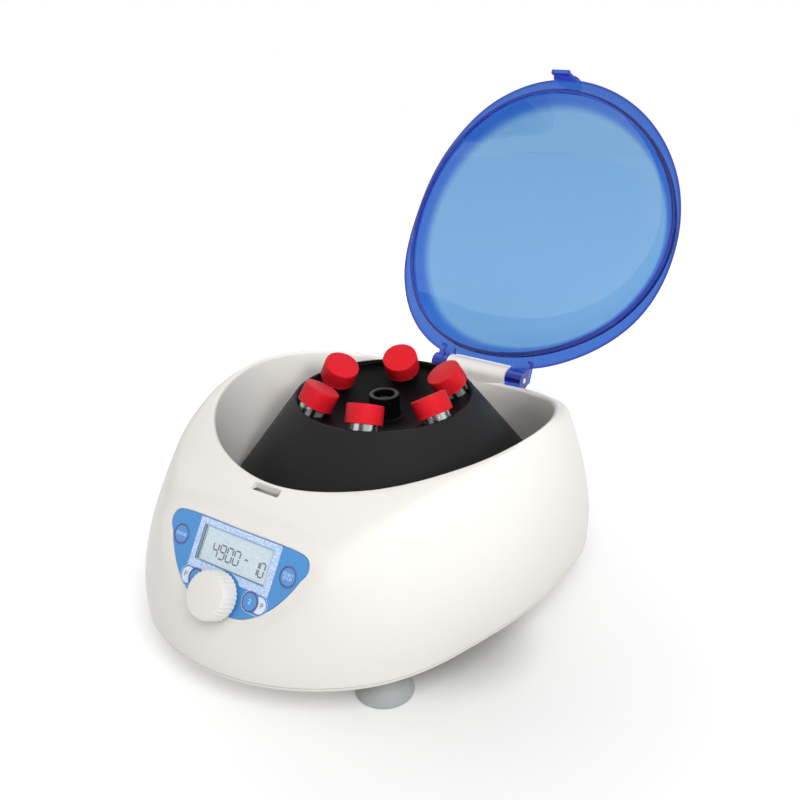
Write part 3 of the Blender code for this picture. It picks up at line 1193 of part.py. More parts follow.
def make_rear():
    """Mains inlet and power switch in the flat face at the rear."""
    middle = REAR_FACE_LOW + REAR_FACE_HEIGHT / 2
    face = add_frame("rear_face", (0, REAR_FACE_Y, middle), (-math.pi / 2, 0, 0))
    proud = CLEARANCE
    flange = block(INLET_FLANGE, (0, 0, proud + INLET_FLANGE[2] / 2))
    inlet = add_piece("power_inlet", flange, (0.03, 0.03, 0.03), 0.45, parent=face, location=(INLET_PLACE, 0, 0))
    depth = INLET_BODY[2]
    shape(inlet, "UNION", block((INLET_BODY[0] - CLEARANCE, INLET_BODY[1] - CLEARANCE, depth + proud + proud),
                                (0, 0, proud + proud - (depth + proud + proud) / 2)))
    cavity = block(INLET_CAVITY, (0, 0, INLET_FLANGE[2] + proud - INLET_CAVITY[2] / 2 + proud))
    shape(inlet, "DIFFERENCE", cavity)
    floor = INLET_FLANGE[2] + proud + proud - INLET_CAVITY[2]
    pins = []
    for x, y in ((-INLET_PIN_SPREAD, 0), (INLET_PIN_SPREAD, 0), (0, -INLET_PIN_RISE)):
        pins.append(block((INLET_PIN[0], INLET_PIN[1], INLET_PIN[2]), (x, y, floor - proud + INLET_PIN[2] / 2)))
    shape(inlet, "UNION", merge_meshes(*pins)).name = "power_inlet_pins"
    frame = block(ROCKER_FRAME, (0, 0, proud + ROCKER_FRAME[2] / 2))
    housing = add_piece("power_switch", frame, (0.03, 0.03, 0.03), 0.45, parent=face, location=(ROCKER_PLACE, 0, 0))
    depth = ROCKER_BODY[2]
    shape(housing, "UNION", block((ROCKER_BODY[0] - CLEARANCE, ROCKER_BODY[1] - CLEARANCE, depth + proud + proud),
                                  (0, 0, proud + proud - (depth + proud + proud) / 2)))
    shape(housing, "DIFFERENCE", block(ROCKER_WELL, (0, 0, ROCKER_FRAME[2] + proud + proud - ROCKER_WELL[2] / 2)))
    half = ROCKER_WIDTH / 2
    lift = ROCKER_LIFT
    reach = (ROCKER_BODY[0] + ROCKER_WELL[0]) / 4
    shape(housing, "UNION", along_x(ROCKER_PIN_RADIUS, -reach, reach, 0, lift - ROCKER_THICKNESS / 2,
                                    SMALL_STEPS)).name = "power_switch_pin"
    make_rocker(face, half, lift)


def make_rocker(face, half, lift):
    """Rocker with two slanted faces, tipped to its off side."""
    reach = ROCKER_HALF_LENGTH
    thick = ROCKER_THICKNESS
    outline = [(-reach, thick), (0, thick / 2), (reach, thick), (reach, 0), (thick, -thick), (-thick, -thick),
               (-reach, 0)]
    rocker = add_piece("power_rocker", prism_along_x(outline, -half, half), (0.03, 0.03, 0.03), 0.4, parent=face,
                       location=(ROCKER_PLACE, 0, lift - thick / 2), rotation=(ROCKER_TILT, 0, 0))
    shape(rocker, "DIFFERENCE", along_x(ROCKER_PIN_RADIUS + CLEARANCE, -half - OVERRUN, half + OVERRUN, 0, 0,
                                        SMALL_STEPS))


def stand_on_origin():
    """Move everything so that the middle of the whole box's underside is the origin."""
    bpy.context.view_layer.update()
    seen = bpy.context.evaluated_depsgraph_get()
    low, high = [], []
    for item in bpy.context.scene.objects:
        if item.type != "MESH" or item.hide_render:
            continue
        corners = [item.matrix_world @ vertex.co for vertex in item.evaluated_get(seen).data.vertices]
        low.append(min(corner.y for corner in corners))
        high.append(max(corner.y for corner in corners))
    shift = -(min(low) + max(high)) / 2
    for root in ROOTS:
        root.location.y += shift
    bpy.context.view_layer.update()
    return shift


def build():
    clear_scene()
    make_housing()
    make_tray()
    make_feet()
    make_screws()
    make_chamber_floor()
    make_motor()
    make_rotor()
    make_tubes()
    make_lid()
    make_hinge_pins()
    make_latch()
    panel = add_frame("panel_frame", PANEL_CENTRE, (PANEL_TILT, 0, 0))
    make_panel(panel)
    make_knob(panel)
    make_power_board()
    make_rear()
    shift = stand_on_origin()
    print("ok: rotor axis at y =", round(shift, 5))


build()
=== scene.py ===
"""Looks of the low-speed bench centrifuge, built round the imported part.

The row frame is in metres: +Z up, the key panel faces -Y, the rotor turns about a
vertical axis at AXIS_Y. Housing, tray and lid are laid on smooth sections; the rest is
turned, extruded and carved with bmesh operators.
"""
import math

import bmesh
import bpy
import numpy as np
from mathutils import Matrix, Vector


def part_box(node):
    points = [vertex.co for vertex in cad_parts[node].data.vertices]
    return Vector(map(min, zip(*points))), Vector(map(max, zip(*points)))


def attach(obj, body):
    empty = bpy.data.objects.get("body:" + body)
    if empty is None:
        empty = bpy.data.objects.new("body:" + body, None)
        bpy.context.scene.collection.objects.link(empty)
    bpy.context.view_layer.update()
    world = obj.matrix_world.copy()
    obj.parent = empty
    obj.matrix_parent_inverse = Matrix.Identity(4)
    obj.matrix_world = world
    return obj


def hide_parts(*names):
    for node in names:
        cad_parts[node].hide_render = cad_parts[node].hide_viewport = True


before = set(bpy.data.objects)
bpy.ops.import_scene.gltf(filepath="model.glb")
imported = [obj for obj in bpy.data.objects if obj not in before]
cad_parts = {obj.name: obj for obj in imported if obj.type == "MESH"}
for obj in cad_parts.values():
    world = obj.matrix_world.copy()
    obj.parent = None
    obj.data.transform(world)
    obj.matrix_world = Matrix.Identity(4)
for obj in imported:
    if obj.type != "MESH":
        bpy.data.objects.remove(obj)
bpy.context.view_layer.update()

# Sizes, in metres, with the rotor axis at zero unless said
AXIS_Y = (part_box("rotor")[0].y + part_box("rotor")[1].y) / 2
RIM = 0.1067
FOOT_TOP = 0.0150
OPENING = 0.0984
NOSE = 0.0623
SHELL = RIM - FOOT_TOP
WALL = 0.0025
LIP = 0.0020
SHOULDER = 0.0050
TRAY_TOP = 0.0170
BASE = 0.0173
WALL_FOOT = 0.0229
LID_OPEN = math.radians(121.1)
HINGE = Vector((0, OPENING + 0.0069, RIM - 0.299 * SHELL + 0.0037))
PANEL_TILT = math.radians(56.7)
PANEL = (Matrix.Translation((0, -OPENING - 0.517 * NOSE, RIM - 0.433 * SHELL))
         @ Matrix.Rotation(PANEL_TILT, 4, "X"))
REAR_FACE = OPENING + 0.70 * NOSE * 0.361
BOWL_TAPER, BOWL_BOTTOM = 0.002, 0.0226
TO_ROW = Matrix.Translation((0, AXIS_Y, 0))

# Places and sizes on the panel's flat, in its own plane
PANEL_HALF, PANEL_HEIGHT, PANEL_MIDDLE = 0.0474, 0.0435, -0.00875
PANEL_ABOVE, PANEL_BELOW = 0.0130, 0.0305
FLAT_END, FLAT_FADE = 1.55, 0.45
KNOB_PLACE, KNOB_BORE, KNOB_RADIUS, KEY_BORE = (0, -0.0219), 0.0039, 0.0127, 0.0021
KEYS = {"door": (-0.0375, -0.0003), "start_stop": (0.0368, -0.0003), "one": (-0.0188, -0.0186),
        "two": (0.0188, -0.0186)}
SCREEN_LEVEL, MARK_DEPTH = -0.00085, 0.00008
BOARD_DEPTH, CONTACT_HEIGHT, KEY_TRAVEL, CLEARANCE = 0.011, 0.0016, 0.0004, 0.0003

# Hinge, hook and rear face
HINGE_BAR, BAR_HALF, PIN_BORE = 0.007, 0.0225, 0.0021
KNUCKLE, KNUCKLE_NEAR, KNUCKLE_FAR, GUSSET_NEAR = 0.006, 0.0230, 0.0345, 0.0323
HOOK_SETBACK, HOOK_LENGTH = 0.0049, 0.0145
SLOT = (0.0187, 0.0042, 0.0105)
REAR_MIDDLE, INLET_X, SWITCH_X = 0.03875, 0.009, -0.0155

# Lid, round the opening
LID_GAP, LID_WALL, LIP_DEPTH = 0.0005, 0.0022, 0.0027
LIP_SETBACK, FLANGE_REACH, FLANGE_EDGE = 0.0066, 0.0054, 0.0022
BAND_REACH, BAND_FADE = 0.0062, 0.0022
HOOK_TINT, ARM_TINT = 0.3, 0.75

# Rotor, tubes and knob
ROTOR_TOP, ROTOR_FOOT, ROTOR_SLOPE = 0.0530, 0.0918, math.radians(37)
TUBE_START, TUBE_REACH, TUBE_RISE, TUBE_TILT = math.radians(20.5), 0.0357, 0.0083, math.radians(30)
CAP_STEPS, KNOB_RIBS = 144, 32

# Section tables: seven values at equal angles, from front to rear
OPENING_DROP = (0.147, 0.101, 0.027, 0.004, 0.084, 0.228, 0.299)
BASE_REACH = (1.000, 0.836, 0.411, 0.266, 0.353, 0.334, 0.361)
SHOULDER_REACH = (0.800, 0.455, 0.152, 0.056, 0.140, 0.215, 0.215)
SHOULDER_DROP = (0.690, 0.230, 0.039, 0.016, 0.122, 0.275, 0.365)
CROWN = (0.155, 0.090, 0.034, 0.014, 0.010, 0.020, 0.020)
WAIST = (0.030, 0.090, 0.050, 0.015, 0.045, 0.025, 0.000)
BELLY = (0.020, 0.010, 0.060, 0.060, 0.040, 0.085, 0.120)
LID_FLANGE = (1.00, 0.95, 0.60, 0.40, 1.00, 1.00, 0.63)
LID_LIP = (0.71, 0.65, 0.53, 0.48, 0.66, 0.88, 1.00)
SHIELD = ((0.00, 1.00), (0.45, 1.02), (0.80, 1.00), (0.95, 0.86), (1.00, 0.45),
          (0.94, 0.00), (0.78, -0.43), (0.59, -0.73), (0.33, -0.95), (0.00, -1.00))


# Shader expressions

class Socket:
    """A shader socket that takes part in Python sums."""

    def __init__(self, finish, link):
        self.finish = finish
        self.link = link

    def sum_with(self, operation, first, second):
        return self.finish.node("ShaderNodeMath", {"operation": operation}, first, second)

    def __mul__(self, other):
        return self.sum_with("MULTIPLY", self, other)

    def __lt__(self, other):
        return self.sum_with("LESS_THAN", self, other)

    def __gt__(self, other):
        return self.sum_with("GREATER_THAN", self, other)

    __rmul__ = __mul__


class Finish:
    """One material: a Principled shader with constants, and sockets fed by expressions."""

    def __init__(self, name, colour, roughness, **constants):
        self.material = bpy.data.materials.new(name)
        self.material.use_nodes = True
        self.tree = self.material.node_tree
        self.shader = self.tree.nodes["Principled BSDF"]
        self.shader.inputs["Base Color"].default_value = (*colour, 1)
        self.shader.inputs["Roughness"].default_value = roughness
        for key, value in constants.items():
            self.shader.inputs[key.replace("_", " ")].default_value = value

    def node(self, kind, settings, *values, output=0, **named):
        """Any node: its settings first, then values or links for its sockets."""
        made = self.tree.nodes.new(kind)
        for key, value in settings.items():
            setattr(made, key, value)
        places = list(zip(made.inputs, values)) + [(made.inputs[key.replace("_", " ")], value)
                                                   for key, value in named.items()]
        for place, value in places:
            if isinstance(value, Socket):
                self.tree.links.new(value.link, place)
            elif value is not None:
                place.default_value = value
        return Socket(self, made.outputs[output])

    def place(self):
        return self.node("ShaderNodeTexCoord", {}, output=3)

    def mix(self, share, first, second):
        made = self.node("ShaderNodeMix", {"data_type": "RGBA"}, share, output=2)
        for index, value in ((6, first), (7, second)):
            socket = made.link.node.inputs[index]
            if isinstance(value, Socket):
                self.tree.links.new(value.link, socket)
            else:
                socket.default_value = (*value, 1)
        return made

    def mapped(self, shift, stretch):
        return self.node("ShaderNodeMapping", {"vector_type": "POINT"}, self.place(), shift, (0, 0, 0), stretch)

    def grain(self, scale, detail, place=None):
        return self.node("ShaderNodeTexNoise", {}, Vector=place or self.place(), Scale=scale, Detail=detail)

    def distance(self, shift):
        """Distance over the ground from the place that the shift brings to zero."""
        return self.node("ShaderNodeVectorMath", {"operation": "LENGTH"}, self.mapped(shift, (1, 1, 0)), output=1)

    def feed(self, name, value):
        self.tree.links.new(value.link, self.shader.inputs[name])
        return self

    def bump(self, height, strength, distance):
        made = self.node("ShaderNodeBump", {}, Height=height, Strength=strength, Distance=distance)
        return self.feed("Normal", made)


# Forms

def clamp(value, low=0, high=1):
    return min(max(value, low), high)


def placed(name, data):
    """A new object with its data, linked to the scene."""
    made = bpy.data.objects.new(name, data)
    bpy.context.scene.collection.objects.link(made)
    return made


def laid_grid(rows, round_rows=True, round_columns=False):
    """A grid whose corners are laid on rows of points; round ones join up with their start."""
    across = len(rows) if round_rows else len(rows) - 1
    along = len(rows[0]) if round_columns else len(rows[0]) - 1
    form = bmesh.new()
    bmesh.ops.create_grid(form, x_segments=across, y_segments=along, size=1)
    for vert in form.verts:
        i = round((vert.co.x + 1) / 2 * across) % len(rows)
        j = round((vert.co.y + 1) / 2 * along) % len(rows[0])
        vert.co = rows[i][j]
    return closed(form)


def closed(form):
    """Merge doubled points, drop slivers and turn the faces outwards."""
    bmesh.ops.remove_doubles(form, verts=form.verts, dist=1e-6)
    bmesh.ops.dissolve_degenerate(form, edges=form.edges, dist=1e-7)
    bmesh.ops.recalc_face_normals(form, faces=form.faces)
    return form


def moved(form, matrix):
    bmesh.ops.transform(form, matrix=matrix, verts=form.verts)
    return form


def turned(profile, steps=64):
    """Spin an outline of (radius, height) points about Z."""
    form = bmesh.new()
    corners = [form.verts.new((radius, 0, height)) for radius, height in profile]
    edges = [form.edges.new(pair) for pair in zip(corners, corners[1:])]
    bmesh.ops.spin(form, geom=corners + edges, axis=(0, 0, 1), cent=(0, 0, 0), angle=2 * math.pi,
                   steps=steps, use_merge=True)
    return closed(form)


def block(size, centre=(0, 0, 0), radius=0.0, upright_only=False):
    """A box, with all its edges or only the upright ones rounded."""
    form = bmesh.new()
    bmesh.ops.create_cube(form, size=1)
    bmesh.ops.scale(form, vec=Vector(size), verts=form.verts)
    if radius:
        edges = [edge for edge in form.edges
                 if not upright_only or abs(edge.verts[0].co.z - edge.verts[1].co.z) > size[2] / 2]
        bmesh.ops.bevel(form, geom=edges, offset=radius, segments=3, profile=0.5, affect="EDGES", material=-1)
    return moved(form, Matrix.Translation(Vector(centre)))


def plate(outline, low, high):
    """A flat outline of (x, y) points, raised from one height to another."""
    form = bmesh.new()
    face = form.faces.new([form.verts.new((x, y, low)) for x, y in outline])
    made = bmesh.ops.extrude_face_region(form, geom=[face])
    bmesh.ops.translate(form, verts=[item for item in made["geom"] if isinstance(item, bmesh.types.BMVert)],
                        vec=(0, 0, high - low))
    return closed(form)


def sideways(outline, low, high):
    """The same along X, from an outline of (y, z) points."""
    turn = Matrix(((0, 0, 1, 0), (1, 0, 0, 0), (0, 1, 0, 0), (0, 0, 0, 1)))
    return moved(plate(outline, low, high), turn)


def bar(radius, low, high, centre=(0, 0, 0), axis="Z", steps=48):
    form = bmesh.new()
    bmesh.ops.create_cone(form, cap_ends=True, segments=steps, radius1=radius, radius2=radius, depth=high - low)
    moved(form, Matrix.Translation((0, 0, (low + high) / 2)))
    if axis == "X":
        moved(form, Matrix.Rotation(math.pi / 2, 4, "Y"))
    return moved(form, Matrix.Translation(Vector(centre)))


def hinge_rod(radius, side, near, far, steps=48):
    """A rod on the hinge's line, between two distances from the middle on one side."""
    return bar(radius, *sorted((side * near, side * far)), HINGE, "X", steps)


def borer(radius, place):
    """A round cutter through the panel's flat."""
    return bar(radius, -0.004, 0.004, (*place, 0))


def joined(*forms):
    whole = bmesh.new()
    for form in forms:
        holder = bpy.data.meshes.new("holder")
        form.to_mesh(holder)
        form.free()
        whole.from_mesh(holder)
        bpy.data.meshes.remove(holder)
    return whole


def carved(form, *steps):
    """Apply Boolean steps, each an operation and a form, and hand back the new form."""
    def holder(item):
        mesh = bpy.data.meshes.new("holder")
        item.to_mesh(mesh)
        item.free()
        return placed("holder", mesh)
    base = holder(form)
    helpers = []
    for operation, other in steps:
        helpers.append(holder(other))
        modifier = base.modifiers.new("carve", "BOOLEAN")
        modifier.operation = operation
        modifier.object = helpers[-1]
        modifier.use_self = True
    bpy.context.view_layer.update()
    result = bmesh.new()
    result.from_object(base, bpy.context.evaluated_depsgraph_get())
    for item in [base, *helpers]:
        bpy.data.objects.remove(item)
    return result


def piece(name, form, finish, body, replaces=(), sharp=35):
    """Make a shown piece from a form that lies in the row frame."""
    mesh = bpy.data.meshes.new(name)
    form.to_mesh(mesh)
    form.free()
    mesh.shade_smooth()
    mesh.set_sharp_from_angle(angle=math.radians(sharp))
    mesh.materials.append(finish.material)
    made = placed(name, mesh)
    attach(made, body)
    if replaces:
        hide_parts(*replaces)
    return made


def marked(made, name, values):
    """Give each corner of a piece a number that its finish reads."""
    layer = made.data.attributes.new(name, "FLOAT", "POINT")
    for item, value in zip(layer.data, values):
        item.value = value


def dress(node, finish):
    """Give a CAD node its finish."""
    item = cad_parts[node]
    item.data.materials.clear()
    item.data.materials.append(finish.material)


# Curves of the housing

def spline(points, place):
    """A smooth curve through points, mirrored at both ends."""
    last = len(points) - 1

    def point(index):
        index = abs(index)
        return np.array(points[2 * last - index if index > last else index], float)
    index = min(int(place), last - 1)
    ease = place - index
    before, start, end, after = (point(index + k) for k in (-1, 0, 1, 2))
    return 0.5 * (2 * start + (end - before) * ease + (2 * before - 5 * start + 4 * end - after) * ease ** 2
                  + (3 * start - before - 3 * end + after) * ease ** 3)


def around(table, angle):
    """The value of a section table at an angle from the front."""
    turn = abs(math.remainder(angle, 2 * math.pi)) / math.pi
    return float(spline(table, turn * (len(table) - 1)))


def bezier(points, steps):
    curve = []
    for t in np.linspace(0, 1, steps + 1):
        level = [np.array(point, float) for point in points]
        while len(level) > 1:
            level = [a * (1 - t) + b * t for a, b in zip(level, level[1:])]
        curve.append(level[0])
    return np.array(curve)


def part_of(path, count, short_by=0.0):
    """Evenly spaced points along a path, ending short of its end."""
    path = np.array(path)
    run = np.concatenate([[0], np.cumsum(np.linalg.norm(np.diff(path, axis=0), axis=1))])
    places = np.linspace(0, run[-1] - short_by, count)
    return np.stack([np.interp(places, run, path[:, k]) for k in range(2)], axis=1)


def edge_height(angle):
    return RIM - SHELL * around(OPENING_DROP, angle)


def bowl(height):
    """Radius of the bowl's wall at a height."""
    return OPENING - BOWL_TAPER * max((RIM - height) / (RIM - BOWL_BOTTOM), 0)


def skin(angle, points):
    """The housing's outer skin in one upright plane, from its base to the opening's lip."""
    opening = np.array((OPENING + LIP, edge_height(angle)))
    shoulder = np.array((OPENING + NOSE * around(SHOULDER_REACH, angle),
                         RIM - SHELL * around(SHOULDER_DROP, angle)))
    base = np.array((OPENING + NOSE * around(BASE_REACH, angle), BASE))
    across = shoulder - opening
    crown = (opening + shoulder) / 2 + around(CROWN, angle) * np.array((-across[1], across[0]))
    height = shoulder[1] - base[1]
    waist = shoulder + np.array(((base[0] - shoulder[0]) / 3 + around(WAIST, angle) * height, -height / 3))
    belly = base + np.array((around(BELLY, angle) * height, height / 3))
    top = bezier((opening, crown, shoulder), 32)
    side = bezier((base, belly, waist, shoulder), 48)
    corner = min(SHOULDER, 0.45 * np.linalg.norm(np.diff(top, axis=0), axis=1).sum())
    side = part_of(side, 48, SHOULDER)
    top = part_of(top, 32, corner)[::-1]
    return part_of(np.concatenate([side, bezier((side[-1], shoulder, top[0]), 8)[1:-1], top]), points)


def upright(angle, point):
    """A (radius, height) point in the upright plane at an angle from the front."""
    return Vector((point[0] * math.sin(angle), -point[0] * math.cos(angle), point[1]))


def facet(x, y):
    """1 on the flat that carries the panel, easing to 0 round it."""
    narrow = clamp((PANEL_ABOVE - y) / PANEL_HEIGHT)
    reach = ((x / (PANEL_HALF * (1 - narrow ** 2 / 2))) ** 4 + ((y - PANEL_MIDDLE) / (PANEL_HEIGHT / 2)) ** 4) ** 0.25
    share = clamp((FLAT_END - reach) / FLAT_FADE)
    return share * share * (3 - 2 * share)


def pressed(angle, point, depth=0.0):
    """A point of such a plane, pressed on to the panel's flat or to a depth behind it."""
    place = upright(angle, point)
    local = PANEL.inverted() @ place
    fade = facet(local.x, local.y)
    if place.y < 0 and fade > 0:
        local.z += fade * (-depth - local.z)
        place = PANEL @ local
    return place


def housing_row(angle):
    """One closed section of the housing: skin, lip, bowl wall, its back and the hollow."""
    outer = skin(angle, 44)
    edge = edge_height(angle)
    row = [pressed(angle, point) for point in outer]
    for turn in np.radians((15, 30, 45, 60, 75, 90)):
        row.append(upright(angle, (OPENING + LIP * (1 - math.sin(turn)), edge - LIP * (1 - math.cos(turn)))))
    along = np.gradient(outer, axis=0)
    along /= np.linalg.norm(along, axis=1, keepdims=True)
    inner = outer + WALL * np.stack([-along[:, 1], along[:, 0]], axis=1)
    inner[0, 1] = BASE
    keep = 1
    while keep < len(inner) and inner[keep, 0] > bowl(inner[keep, 1]) + WALL + 0.0012:
        keep += 1
    hollow = part_of(inner[:keep], 16)
    top = hollow[-1][1]
    walls = [(bowl(z), z) for z in np.linspace(edge - 0.004, WALL_FOOT, 8)]
    row += [upright(angle, point) for point in walls + [(bowl(WALL_FOOT) + WALL, WALL_FOOT), (bowl(top) + WALL, top)]]
    row += [pressed(angle, point, WALL) for point in hollow[::-1]]
    return row


def shield(inset=0.0):
    """Outline of the panel's film, which is wide above and round below."""
    fine = 6
    right = []
    for step in range((len(SHIELD) - 1) * fine + 1):
        x, y = spline(SHIELD, step / fine)
        right.append(((PANEL_HALF - inset) * x, ((PANEL_ABOVE if y > 0 else PANEL_BELOW) - inset) * y))
    return right + [(-x, y) for x, y in right[-2:0:-1]]


# Finishes

def varied(name, colour, roughness, scale=700, spread=0.05, depth=0.05, stretch=(1, 1, 1), **constants):
    """A finish whose colour, sheen and surface all vary a little with one grain."""
    made = Finish(name, colour, roughness, **constants)
    grain = made.grain(scale, 3, made.mapped((0, 0, 0), stretch))
    made.feed("Base Color", made.mix(grain, [part * (1 - spread) for part in colour],
                                     [min(part * (1 + spread), 1) for part in colour]))
    made.feed("Roughness", made.node("ShaderNodeMapRange", {}, grain, 0.3, 0.7,
                                     roughness * 0.9, roughness * 1.1))
    return made.bump(grain, depth, 0.0002)


housing_finish = varied("housing_white", (0.80, 0.772, 0.732), 0.36, 900, 0.008, 0.02)
tray_finish = varied("tray_white", (0.76, 0.735, 0.69), 0.45, 900, 0.010, 0.02)
red_finish = varied("cap_red", (0.58, 0.009, 0.018), 0.45, 420, 0.16, 0.03, Specular_IOR_Level=0.2)
black_finish = Finish("rotor_black", (0.004, 0.004, 0.005), 0.48, Specular_IOR_Level=0.10)
# Painted sheen and shade: the cone beyond the dish's edge gets a lighter black that stands in for its sheen, and the
# dish a darker black, painted shade, though both are one black plastic
black_finish.feed("Base Color", black_finish.mix(black_finish.distance((0, -AXIS_Y, 0)) > 0.0515,
                                                 (0.0012, 0.0012, 0.0016), (0.0155, 0.0155, 0.0165)))
black_finish.bump(black_finish.grain(1400, 2), 0.8, 0.0003)
hub_finish = varied("hub_grey", (0.016, 0.017, 0.019), 0.42, 1500, 0.10, Specular_IOR_Level=0.25)
dark_steel_finish = varied("dark_steel", (0.05, 0.05, 0.055), 0.35, 900, 0.12, Metallic=0.8)
steel_finish = varied("steel", (0.62, 0.62, 0.64), 0.28, 500, 0.08, 0.04, (1, 1, 12), Metallic=1.0)
motor_finish = varied("motor_metal", (0.42, 0.43, 0.45), 0.35, 260, 0.08, 0.06, (1, 1, 12), Metallic=0.9)
glass_finish = Finish("tube_glass", (0.80, 0.83, 0.85), 0.08, Metallic=0.6, Alpha=0.55, Coat_Weight=1.0,
                      Coat_IOR=1.9, Coat_Roughness=0.03)
# Painted reflection: the glass's colour runs from near black to near white in upright bands that stand in for mirrored
# light
painted_reflection = glass_finish.node("ShaderNodeAttribute", {"attribute_name": "painted_reflection"}, output=2)
glass_finish.feed("Base Color", glass_finish.mix(painted_reflection, (0.02, 0.02, 0.022), (0.95, 0.97, 0.98)))
film_finish = varied("film_blue", (0.070, 0.280, 0.64), 0.36, 1200, 0.05, 0.02)
key_finish = varied("key_blue", (0.088, 0.300, 0.66), 0.34, 1200, 0.05, 0.02)
frame_finish = Finish("film_frame", (0.27, 0.47, 0.88), 0.36)
speckle = frame_finish.node("ShaderNodeMapRange", {}, frame_finish.grain(1000, 3), 0.38, 0.68, 0.0, 1.0)
frame_finish.feed("Base Color", frame_finish.mix(speckle, (0.38, 0.54, 0.83), (0.72, 0.81, 0.93)))
ring_finish = varied("key_ring", (0.13, 0.045, 0.17), 0.4, 1500, 0.10)
print_finish = varied("white_print", (0.72, 0.80, 0.92), 0.4, 1500, 0.03, 0.02)
screen_finish = varied("screen", (0.65, 0.77, 0.84), 0.30, 480, 0.14, 0.0)
digit_finish = varied("digits", (0.085, 0.10, 0.11), 0.4, 1200, 0.10, 0.0)
faint_finish = varied("faint_marks", (0.45, 0.55, 0.58), 0.4, 1200, 0.10, 0.0)
pane_finish = varied("pane", (0.85, 0.92, 0.95), 0.05, 300, 0.03, 0.01, Alpha=0.10)
knob_finish = varied("knob_white", (0.80, 0.785, 0.745), 0.40, 1100, 0.015, 0.04)
rubber_finish = varied("foot_rubber", (0.36, 0.375, 0.38), 0.42, 600, 0.05, 0.04)
soft_finish = varied("soft_black", (0.03, 0.03, 0.03), 0.7, 800, 0.15, 0.10)
moulded_finish = varied("black_plastic", (0.022, 0.022, 0.023), 0.42, 1300, 0.12, 0.10)
nylon_finish = varied("white_nylon", (0.80, 0.80, 0.77), 0.4, 700, 0.02, 0.03)
board_finish = varied("board_green", (0.022, 0.175, 0.066), 0.45, 220, 0.30, 0.06)
coil_finish = varied("coil", (0.38, 0.14, 0.04), 0.5, 1800, 0.25, 0.5, (0.04, 0.04, 1))


def clear_blue():
    """Tinted clear plastic by a number on each corner: clear at 0, the band's blue at a half, navy at 1; the band and
    the free edges also glow faintly blue, a painted light.
    """
    dome, band_blue, navy = (0.168, 0.368, 0.65), (0.027, 0.125, 0.46), (0.016, 0.022, 0.24)
    made = Finish("blue_clear", dome, 0.0, Transmission_Weight=1.0, IOR=1.47, Specular_IOR_Level=0.12,
                  Emission_Strength=1.0)
    tint_and_painted_glow = made.node("ShaderNodeAttribute", {"attribute_name": "tint_and_painted_glow"}, output=2)
    band = made.node("ShaderNodeMath", {"operation": "MULTIPLY", "use_clamp": True}, tint_and_painted_glow, 2.0)
    rim = made.node("ShaderNodeMath", {"operation": "SUBTRACT", "use_clamp": True}, tint_and_painted_glow * 2.0, 1.0)
    made.feed("Base Color", made.mix(rim, made.mix(band, dome, band_blue), navy))
    # Painted light: the band and the free edges glow faintly blue, though the lid is no lamp
    return made.feed("Emission Color", made.mix(rim, made.mix(band, (0, 0, 0), (0.002, 0.007, 0.045)),
                                                (0.005, 0.006, 0.090)))


lid_finish = clear_blue()


# Housing, tray and feet

def surface_height(setback):
    """Height of the skin in front of the opening."""
    path = skin(0, 90)
    return float(np.interp(OPENING + setback, path[::-1, 0], path[::-1, 1]))


def panel_form(form):
    return moved(form, PANEL)


def rear_lining():
    """Solid behind the skin at the rear, out of which the flat face is cut."""
    low, high = 0.0240, 0.0535
    limit = math.atan2(0.028, REAR_FACE)
    rows = []
    for angle in np.linspace(math.pi - limit, math.pi + limit, 25):
        path = skin(angle, 90)
        inner = (REAR_FACE - 0.003) / abs(math.cos(angle))
        heights = np.linspace(low, high, 10)
        radii = np.interp(heights, path[:, 1], path[:, 0]) - WALL / 2
        rows.append([upright(angle, point) for point in [(inner, low), *zip(radii, heights), (inner, high)]])
    form = laid_grid(rows, round_rows=False, round_columns=True)
    bmesh.ops.holes_fill(form, edges=[edge for edge in form.edges if edge.is_boundary])
    return closed(form)


def kept_in(form, node):
    """Keep a smooth form inside the width of the faceted solid that it stands for."""
    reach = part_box(node)[1].x
    for vert in form.verts:
        vert.co.x = clamp(vert.co.x, -reach, reach)
    return form


def housing():
    steps = 240
    form = laid_grid([housing_row(2 * math.pi * i / steps) for i in range(steps)], round_columns=True)
    hinge_bar = [(HINGE.y + HINGE_BAR * math.cos(t), HINGE.z + HINGE_BAR * math.sin(t))
                 for t in np.linspace(0, math.pi, 25)]
    foot = HINGE.z - 0.0095
    hinge_bar += [(HINGE.y - HINGE_BAR, foot), (HINGE.y + HINGE_BAR, foot)]
    form = carved(form, ("UNION", rear_lining()), ("UNION", sideways(hinge_bar, -BAR_HALF, BAR_HALF)))
    cutters = [panel_form(plate(shield(), -0.0009, 0.004)), panel_form(block((0.0563, 0.0253, 0.008))),
               panel_form(borer(KNOB_BORE, KNOB_PLACE))]
    cutters += [panel_form(borer(KEY_BORE, place)) for place in KEYS.values()]
    slot_top = surface_height(HOOK_SETBACK) + 0.004
    cutters.append(block(SLOT, (0, -OPENING - HOOK_SETBACK, slot_top - SLOT[2] / 2), 0.0008, upright_only=True))
    for side in (-1, 1):
        cutters.append(hinge_rod(0.0065, side, BAR_HALF, 0.0350))
        cutters.append(hinge_rod(PIN_BORE, side, 0.0105, 0.0265, 24))
    cutters.append(block((0.053, 0.03115, 0.0265), (0, REAR_FACE + 0.03115 / 2, REAR_MIDDLE)))
    cutters.append(block((0.0268, 0.011, 0.0198), (INLET_X, REAR_FACE, REAR_MIDDLE)))
    cutters.append(block((0.0133, 0.011, 0.0203), (SWITCH_X, REAR_FACE, REAR_MIDDLE)))
    form = kept_in(carved(form, ("DIFFERENCE", joined(*cutters))), "upper_housing")
    piece("housing", moved(form, TO_ROW), housing_finish, "base", ["upper_housing"], 30)


